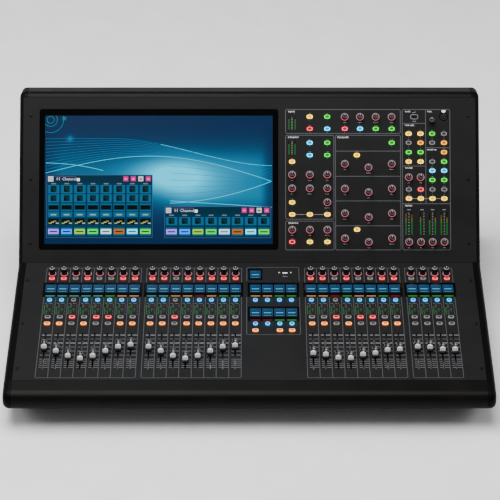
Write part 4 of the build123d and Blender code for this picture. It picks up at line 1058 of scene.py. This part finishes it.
def picture_light(u, v):
    """Brightness of the picture from 0 to 1 at a share of its width and height: a broad band
    and a bright middle, a small glowing dot, darker towards every edge."""
    middle = 0.62 * np.exp(-((u - 0.57) / 0.2) ** 2 - ((v - 0.54) / 0.17) ** 2)
    band = 0.5 * np.exp(-((v - 0.5) / 0.27) ** 2)
    right = 0.16 * np.exp(-((u - 0.9) / 0.16) ** 2 - ((v - 0.64) / 0.14) ** 2)
    under = 0.22 * smooth_step((u - 0.45) / 0.2) * np.exp(-((v - 0.34) / 0.12) ** 2)
    dot = 0.5 * np.exp(-((u - 0.11) / 0.016) ** 2 - ((v - 0.82) / 0.028) ** 2)
    edges = smooth_step(u / 0.08) * smooth_step((1 - u) / 0.06)
    share = (middle + band + right + under) * (0.35 + 0.65 * edges) + dot
    return np.clip(share, 0, 1)


def screen_picture():
    """Lit layer over the glass: a fine grid whose light follows the picture's formula, closed
    by an edge and a plain back."""
    x0, s0, x1, s1 = PICTURE
    columns, rows = 160, 90
    grid_x, grid_s = np.meshgrid(np.linspace(x0, x1, columns), np.linspace(s0, s1, rows))
    share = picture_light((grid_x - x0) / (x1 - x0), (grid_s - s0) / (s1 - s0)).reshape(-1, 1)
    top = np.stack([grid_x, grid_s, np.full_like(grid_x, PRINT)], axis=-1).reshape(-1, 3)
    row, column = np.meshgrid(np.arange(rows - 1), np.arange(columns - 1), indexing="ij")
    first = (row * columns + column).ravel()
    faces = np.stack([first, first + 1, first + columns + 1, first + columns], axis=1).tolist()
    border = np.concatenate([np.arange(columns - 1), np.arange(rows - 1) * columns + columns - 1,
                             rows * columns - 1 - np.arange(columns - 1),
                             (rows - 1 - np.arange(rows - 1)) * columns])
    foot = top[border] * (1, 1, 0)
    low = len(top) + np.arange(len(border))
    faces += np.stack([border, low, np.roll(low, -1), np.roll(border, -1)], axis=1).tolist()
    faces.append(low[::-1].tolist())
    # from navy to cyan, each step of brightness multiplying the light
    lit = rgba("008cff") + share * (rgba("00d8ff") - rgba("008cff"))
    lit[:, 3:] = 0.045 * 34 ** share
    tint = np.concatenate([lit, np.tile(rgba("000000"), (len(foot), 1))])
    make_piece("screen_picture", place(BRIDGE, np.concatenate([top, foot])), faces, "console",
               "screen_glass", LIT_DISPLAY, tint=tint, smooth=False)


def across_picture(u, v):
    """Plane points from shares of the picture's width and height."""
    x0, s0, x1, s1 = PICTURE
    return np.column_stack([x0 + u * (x1 - x0), s0 + v * (s1 - s0)])


def screen_waves():
    """Fine light lines of the background: a fan that blends from one wave to another, a second
    fan on the right, and a few single sweeps."""
    u = np.linspace(0.004, 0.996, 60)
    high = 0.82 - 0.21 * smooth_step((u - 0.3) / 0.7)
    low = 0.55 - 0.065 * u + 0.165 * np.sin(math.pi * u)
    faint = [(across_picture(u, high + (low - high) * share), False)
             for share in np.linspace(0, 0.9, 10)]
    right = np.linspace(0.55, 0.996, 30)
    sweep = 0.315 + 0.175 * ((right - 0.5) / 0.5) ** 2
    over = 0.55 - 0.065 * right + 0.165 * np.sin(math.pi * right)
    faint += [(across_picture(right, over + (sweep - over) * share), False)
              for share in (0.2, 0.35, 0.5, 0.65, 0.8)]
    lines_piece("screen_faint_waves", BRIDGE, faint, "console", "screen_glass", "10b8ff", 0.7,
                LIT_DISPLAY, 0.45, PRINT)
    bright = [(across_picture(u, low), False), (across_picture(right, sweep), False),
              (across_picture(u[30:], high[30:]), False),
              (across_picture(right, 0.335 - 0.05 * (right - 0.55) / 0.45), False),
              (across_picture(u[:16], 0.63 - 0.9 * u[:16] ** 2), False)]
    lines_piece("screen_bright_waves", BRIDGE, bright, "console", "screen_glass", "18d8ff", 1.1,
                LIT_DISPLAY, 1.3, PRINT)


def screen_rings():
    """Thin light circles high on the left, each cut off where it would leave the picture."""
    x0, _, _, s1 = PICTURE
    middle = np.array([x0 + 11.4, s1 - 8.8])
    paths = []
    for radius in (7.5, 14.0, 27.0):
        start = -math.acos(-min(11.0 / radius, 1.0))
        end = math.asin(min(8.4 / radius, 1.0)) if radius > 8.4 else math.pi
        angle = np.linspace(start, end, 40)
        circle = np.stack([np.cos(angle), np.sin(angle)], axis=1)
        paths.append((middle + circle * radius, False))
    lines_piece("screen_rings", BRIDGE, paths, "console", "screen_glass", "28b4d8", 1.2,
                LIT_DISPLAY, 0.5, PRINT)


NAME_TINTS = [("9a70ff", 1.8), ("1c74ff", 2.2), ("b0ff20", 1.0), ("30ff40", 1.2), ("c8f4ff", 1.6),
              ("ff9020", 0.6), ("50e0ff", 2.2), ("50ff40", 1.2)]


def screen_window(plates, x0, s0, x1, s1, rows):
    """One program window: a thin border, a title bar with icons, and columns of teal cells that
    hold dark squares, bars, labels or small pictures, with a coloured name at the foot."""
    plates.box(x0, s0, x1, s1, "80b4ff", 0.28, PRINT)
    plates.box(x0 + 0.8, s0 + 0.8, x1 - 0.8, s1 - 0.8, "08b0ff", 0.045, 2 * PRINT)
    plates.box(x0 + 0.8, s1 - 16.0, x1 - 0.8, s1 - 0.8, "10b8ff", 0.025, 3 * PRINT)
    plates.box(x0 + 3.0, s1 - 14.0, x0 + 14.0, s1 - 3.0, "e8f0ff", 1.0, 4 * PRINT)
    for offset in (3.6, 7.2):
        plates.box(x0 + 4.0, s1 - 3.6 - offset, x0 + 13.0, s1 - 3.0 - offset, "406080", 0.2,
                   5 * PRINT)
    plates.box(x0 + 16.0, s1 - 4.4, x0 + 60.0, s1 - 3.0, "a060c0", 0.4, 4 * PRINT)
    plates.box(x0 + 63.0, s1 - 13.0, x0 + 69.0, s1 - 7.0, "ffffff", 1.6, 4 * PRINT)
    for index, code in enumerate(("ff10a1", "f4f4ff", "ff10a1", "ff10a1")):
        x = x1 - 9.0 - 15.6 * index
        plates.box(x - 5.2, s1 - 13.4, x + 5.2, s1 - 3.0, code, 0.9, 4 * PRINT)
        plates.box(x - 2.4, s1 - 10.0, x + 2.4, s1 - 7.4, "ffb0e0" if index != 1 else "182028",
                   1.2 if index != 1 else 0.0, 5 * PRINT)
    pitch = (x1 - x0 - 2.0) / len(NAME_TINTS)
    for index, (name_code, name_light) in enumerate(NAME_TINTS):
        left = x0 + 1.0 + pitch * index + 1.8
        right = left + pitch - 3.6
        plates.box(left, s0 + 3.8, right, s0 + 22.6, "10b8ff", 0.16, 3 * PRINT)
        plates.box(left + 1.0, s0 + 7.8, right - 1.0, s0 + 18.4, name_code, name_light, 4 * PRINT)
        plates.box(left + 4.0, s0 + 11.6, right - 4.0, s0 + 14.0, "103040", 0.2, 5 * PRINT)
        plates.box(left + 7.0, s1 - 19.6, right - 7.0, s1 - 17.4, "c0d8e8", 0.35, 3 * PRINT)
        for kind, low, high in rows:
            screen_cell(plates, kind, left, low, right, high)


def screen_cell(plates, kind, left, low, right, high):
    """One cell of a program window's grid."""
    plates.box(left, low, right, high, "10b8ff", 0.26, 3 * PRINT)
    middle = (left + right) / 2
    if kind == "square":
        plates.box(middle - 6.0, low + 3.0, middle + 6.0, high - 2.4, "04181c", 0.4, 4 * PRINT)
        for step in range(3):
            plates.box(middle + 1.0 - 2.6 * step, low + 3.6 + 3.2 * step, middle + 5.4,
                       low + 6.4 + 3.2 * step, "0c4a50", 0.5, (5 + step) * PRINT)
    elif kind == "bar":
        plates.box(left + 1.2, low + 3.4, right - 1.2, high - 3.4, "000000", 0.0, 4 * PRINT)
    elif kind == "label":
        plates.box(left + 6.0, low + 3.6, right - 6.0, high - 4.2, "a0e0f0", 0.7, 4 * PRINT)
    else:
        plates.box(left + 0.6, low + 0.6, right - 0.6, high - 0.6, "081014", 0.2, 4 * PRINT)
        for step, code in enumerate(("e0e860", "c8f0f0", "b0d040", "f0f0f0")):
            plates.box(left + 2.0 + 5.0 * step, low + 3.0 + 2.2 * (step % 3),
                       left + 8.0 + 5.0 * step, low + 5.4 + 2.2 * (step % 3), code, 0.6,
                       5 * PRINT + 0.01 * step)


def screen_windows():
    """The two program windows on the lit picture, and their titles."""
    plates = Plates(BRIDGE)
    left_rows = [("square", 144.4, 162.3), ("square", 125.6, 142.8), ("bar", 107.1, 123.3),
                 ("label", 95.0, 105.4), ("picture", 77.8, 93.1)]
    screen_window(plates, -423.0, 51.8, -202.0, 183.4, left_rows)
    screen_window(plates, -177.0, 51.3, 45.0, 117.3, [("square", 77.7, 95.0)])
    plates.box(-391.0, 298.0, -383.0, 306.0, "20a4c0", 0.4, PRINT)
    plates.piece("screen_windows", "console", "screen_glass", LIT_DISPLAY)
    titles = [("01 Channel", -382.0, 174.6, 6.6), ("01 Channel", -136.0, 108.4, 6.6)]
    words_piece("screen_titles", BRIDGE, titles, "console", "screen_glass", "d8e8f0", LIT_DISPLAY,
                1.2, 4 * PRINT)


screen_glass()
screen_picture()
screen_waves()
screen_windows()
screen_rings()


# --- finishes of the carried-over parts ---------------------------------------------------------

FINISHES = {"side_cheek_left": CHEEK_ABS, "side_cheek_right": CHEEK_ABS, "base_pan": PAN_STEEL,
            "front_bolster": HAND_REST, "top_cowl": HAND_REST, "rear_panel": POWDER_COAT,
            "fader_panel": POWDER_COAT, "bridge_panel": POWDER_COAT,
            "display_module": PAN_STEEL, "strip_display_windows": MASK_GLASS,
            "fader_rails": GALVANISED, "fader_motors": GALVANISED, "encoder_bodies": SOCKET_NYLON,
            "circuit_boards": BOARD_LAMINATE, "power_supply": GALVANISED,
            "rear_sockets": SOCKET_NYLON, "panel_sockets": SOCKET_NYLON, "fan_frame": FAN_PBT,
            "feet": FOOT_RUBBER, "screws": SCREW_STEEL, "fan_rotor": FAN_PBT,
            "power_rocker": FAN_PBT}
for node, material in FINISHES.items():
    mesh = frame["nodes"][node].data
    mesh.materials.clear()
    mesh.materials.append(material)


# --- floor, light and camera --------------------------------------------------------------------

FLOOR_HALF = 6000.0


def floor():
    """Plain pale floor, a thin slab whose top is at height zero."""
    points, faces = block((-FLOOR_HALF, -FLOOR_HALF, -10.0), (FLOOR_HALF, FLOOR_HALF, 0.0))
    mesh = bpy.data.meshes.new("floor")
    mesh.from_pydata((points * MM).tolist(), [], faces)
    mesh.materials.append(finish_of("pale_paper", "eeeeee", "f6f6f6", 0.7, 8.0, 0.05))
    piece = bpy.data.objects.new("floor", mesh)
    bpy.context.scene.collection.objects.link(piece)


def soft_box(name, spot, aim, wide, tall, power):
    """Rectangular soft light at a spot in metres, facing a point."""
    data = bpy.data.lights.new(name, "AREA")
    data.shape = "RECTANGLE"
    data.size, data.size_y, data.energy = wide, tall, power
    light = bpy.data.objects.new(name, data)
    light.location = spot
    way = np.array(spot) - np.array(aim)
    across = np.cross((0, 0, 1), way)
    across = across / np.linalg.norm(across) if np.linalg.norm(across) > 1e-6 else ACROSS
    way = way / np.linalg.norm(way)
    up = np.cross(way, across)
    turn = np.eye(4)
    turn[:3, 0], turn[:3, 1], turn[:3, 2], turn[:3, 3] = across, up, way, spot
    light.matrix_world = Matrix(turn)
    bpy.context.scene.collection.objects.link(light)


def world_light(code, strength):
    """Even light from all round."""
    world = bpy.data.worlds.new("studio")
    world.use_nodes = True
    back = world.node_tree.nodes["Background"]
    back.inputs["Color"].default_value = linear(code)
    back.inputs["Strength"].default_value = strength
    bpy.context.scene.world = world


VIEW_DOWN = math.radians(31.345)
CAMERA_DISTANCE = 4874.6
CAMERA_LIFT = 26.0
CAMERA_SIDE = 1.25
LENS = 168.7


def camera():
    """Long lens from in front and above, looking down at the desk."""
    forward = np.array([0.0, math.cos(VIEW_DOWN), -math.sin(VIEW_DOWN)])
    upward = np.array([0.0, math.sin(VIEW_DOWN), math.cos(VIEW_DOWN)])
    spot = CREASE - CAMERA_DISTANCE * forward + CAMERA_LIFT * upward
    data = bpy.data.cameras.new("camera")
    data.lens = LENS
    data.sensor_width = 36.0
    data.clip_end = 50.0
    eye = bpy.data.objects.new("camera", data)
    eye.location = (CAMERA_SIDE * MM, spot[1] * MM, spot[2] * MM)
    eye.rotation_euler = (math.pi / 2 - VIEW_DOWN, 0, 0)
    bpy.context.scene.collection.objects.link(eye)
    bpy.context.scene.camera = eye


floor()
soft_box("key", (-0.5, -0.3, 3.2), (0, 0, 0.1), 3.0, 2.2, 190)
soft_box("left_fill", (-3.2, 0.4, 1.8), (-0.4, 0.4, 0.1), 1.6, 1.6, 34)
soft_box("right_fill", (3.2, 0.4, 1.8), (0.4, 0.4, 0.1), 1.6, 1.6, 34)
world_light("ffffff", 0.32)
camera()
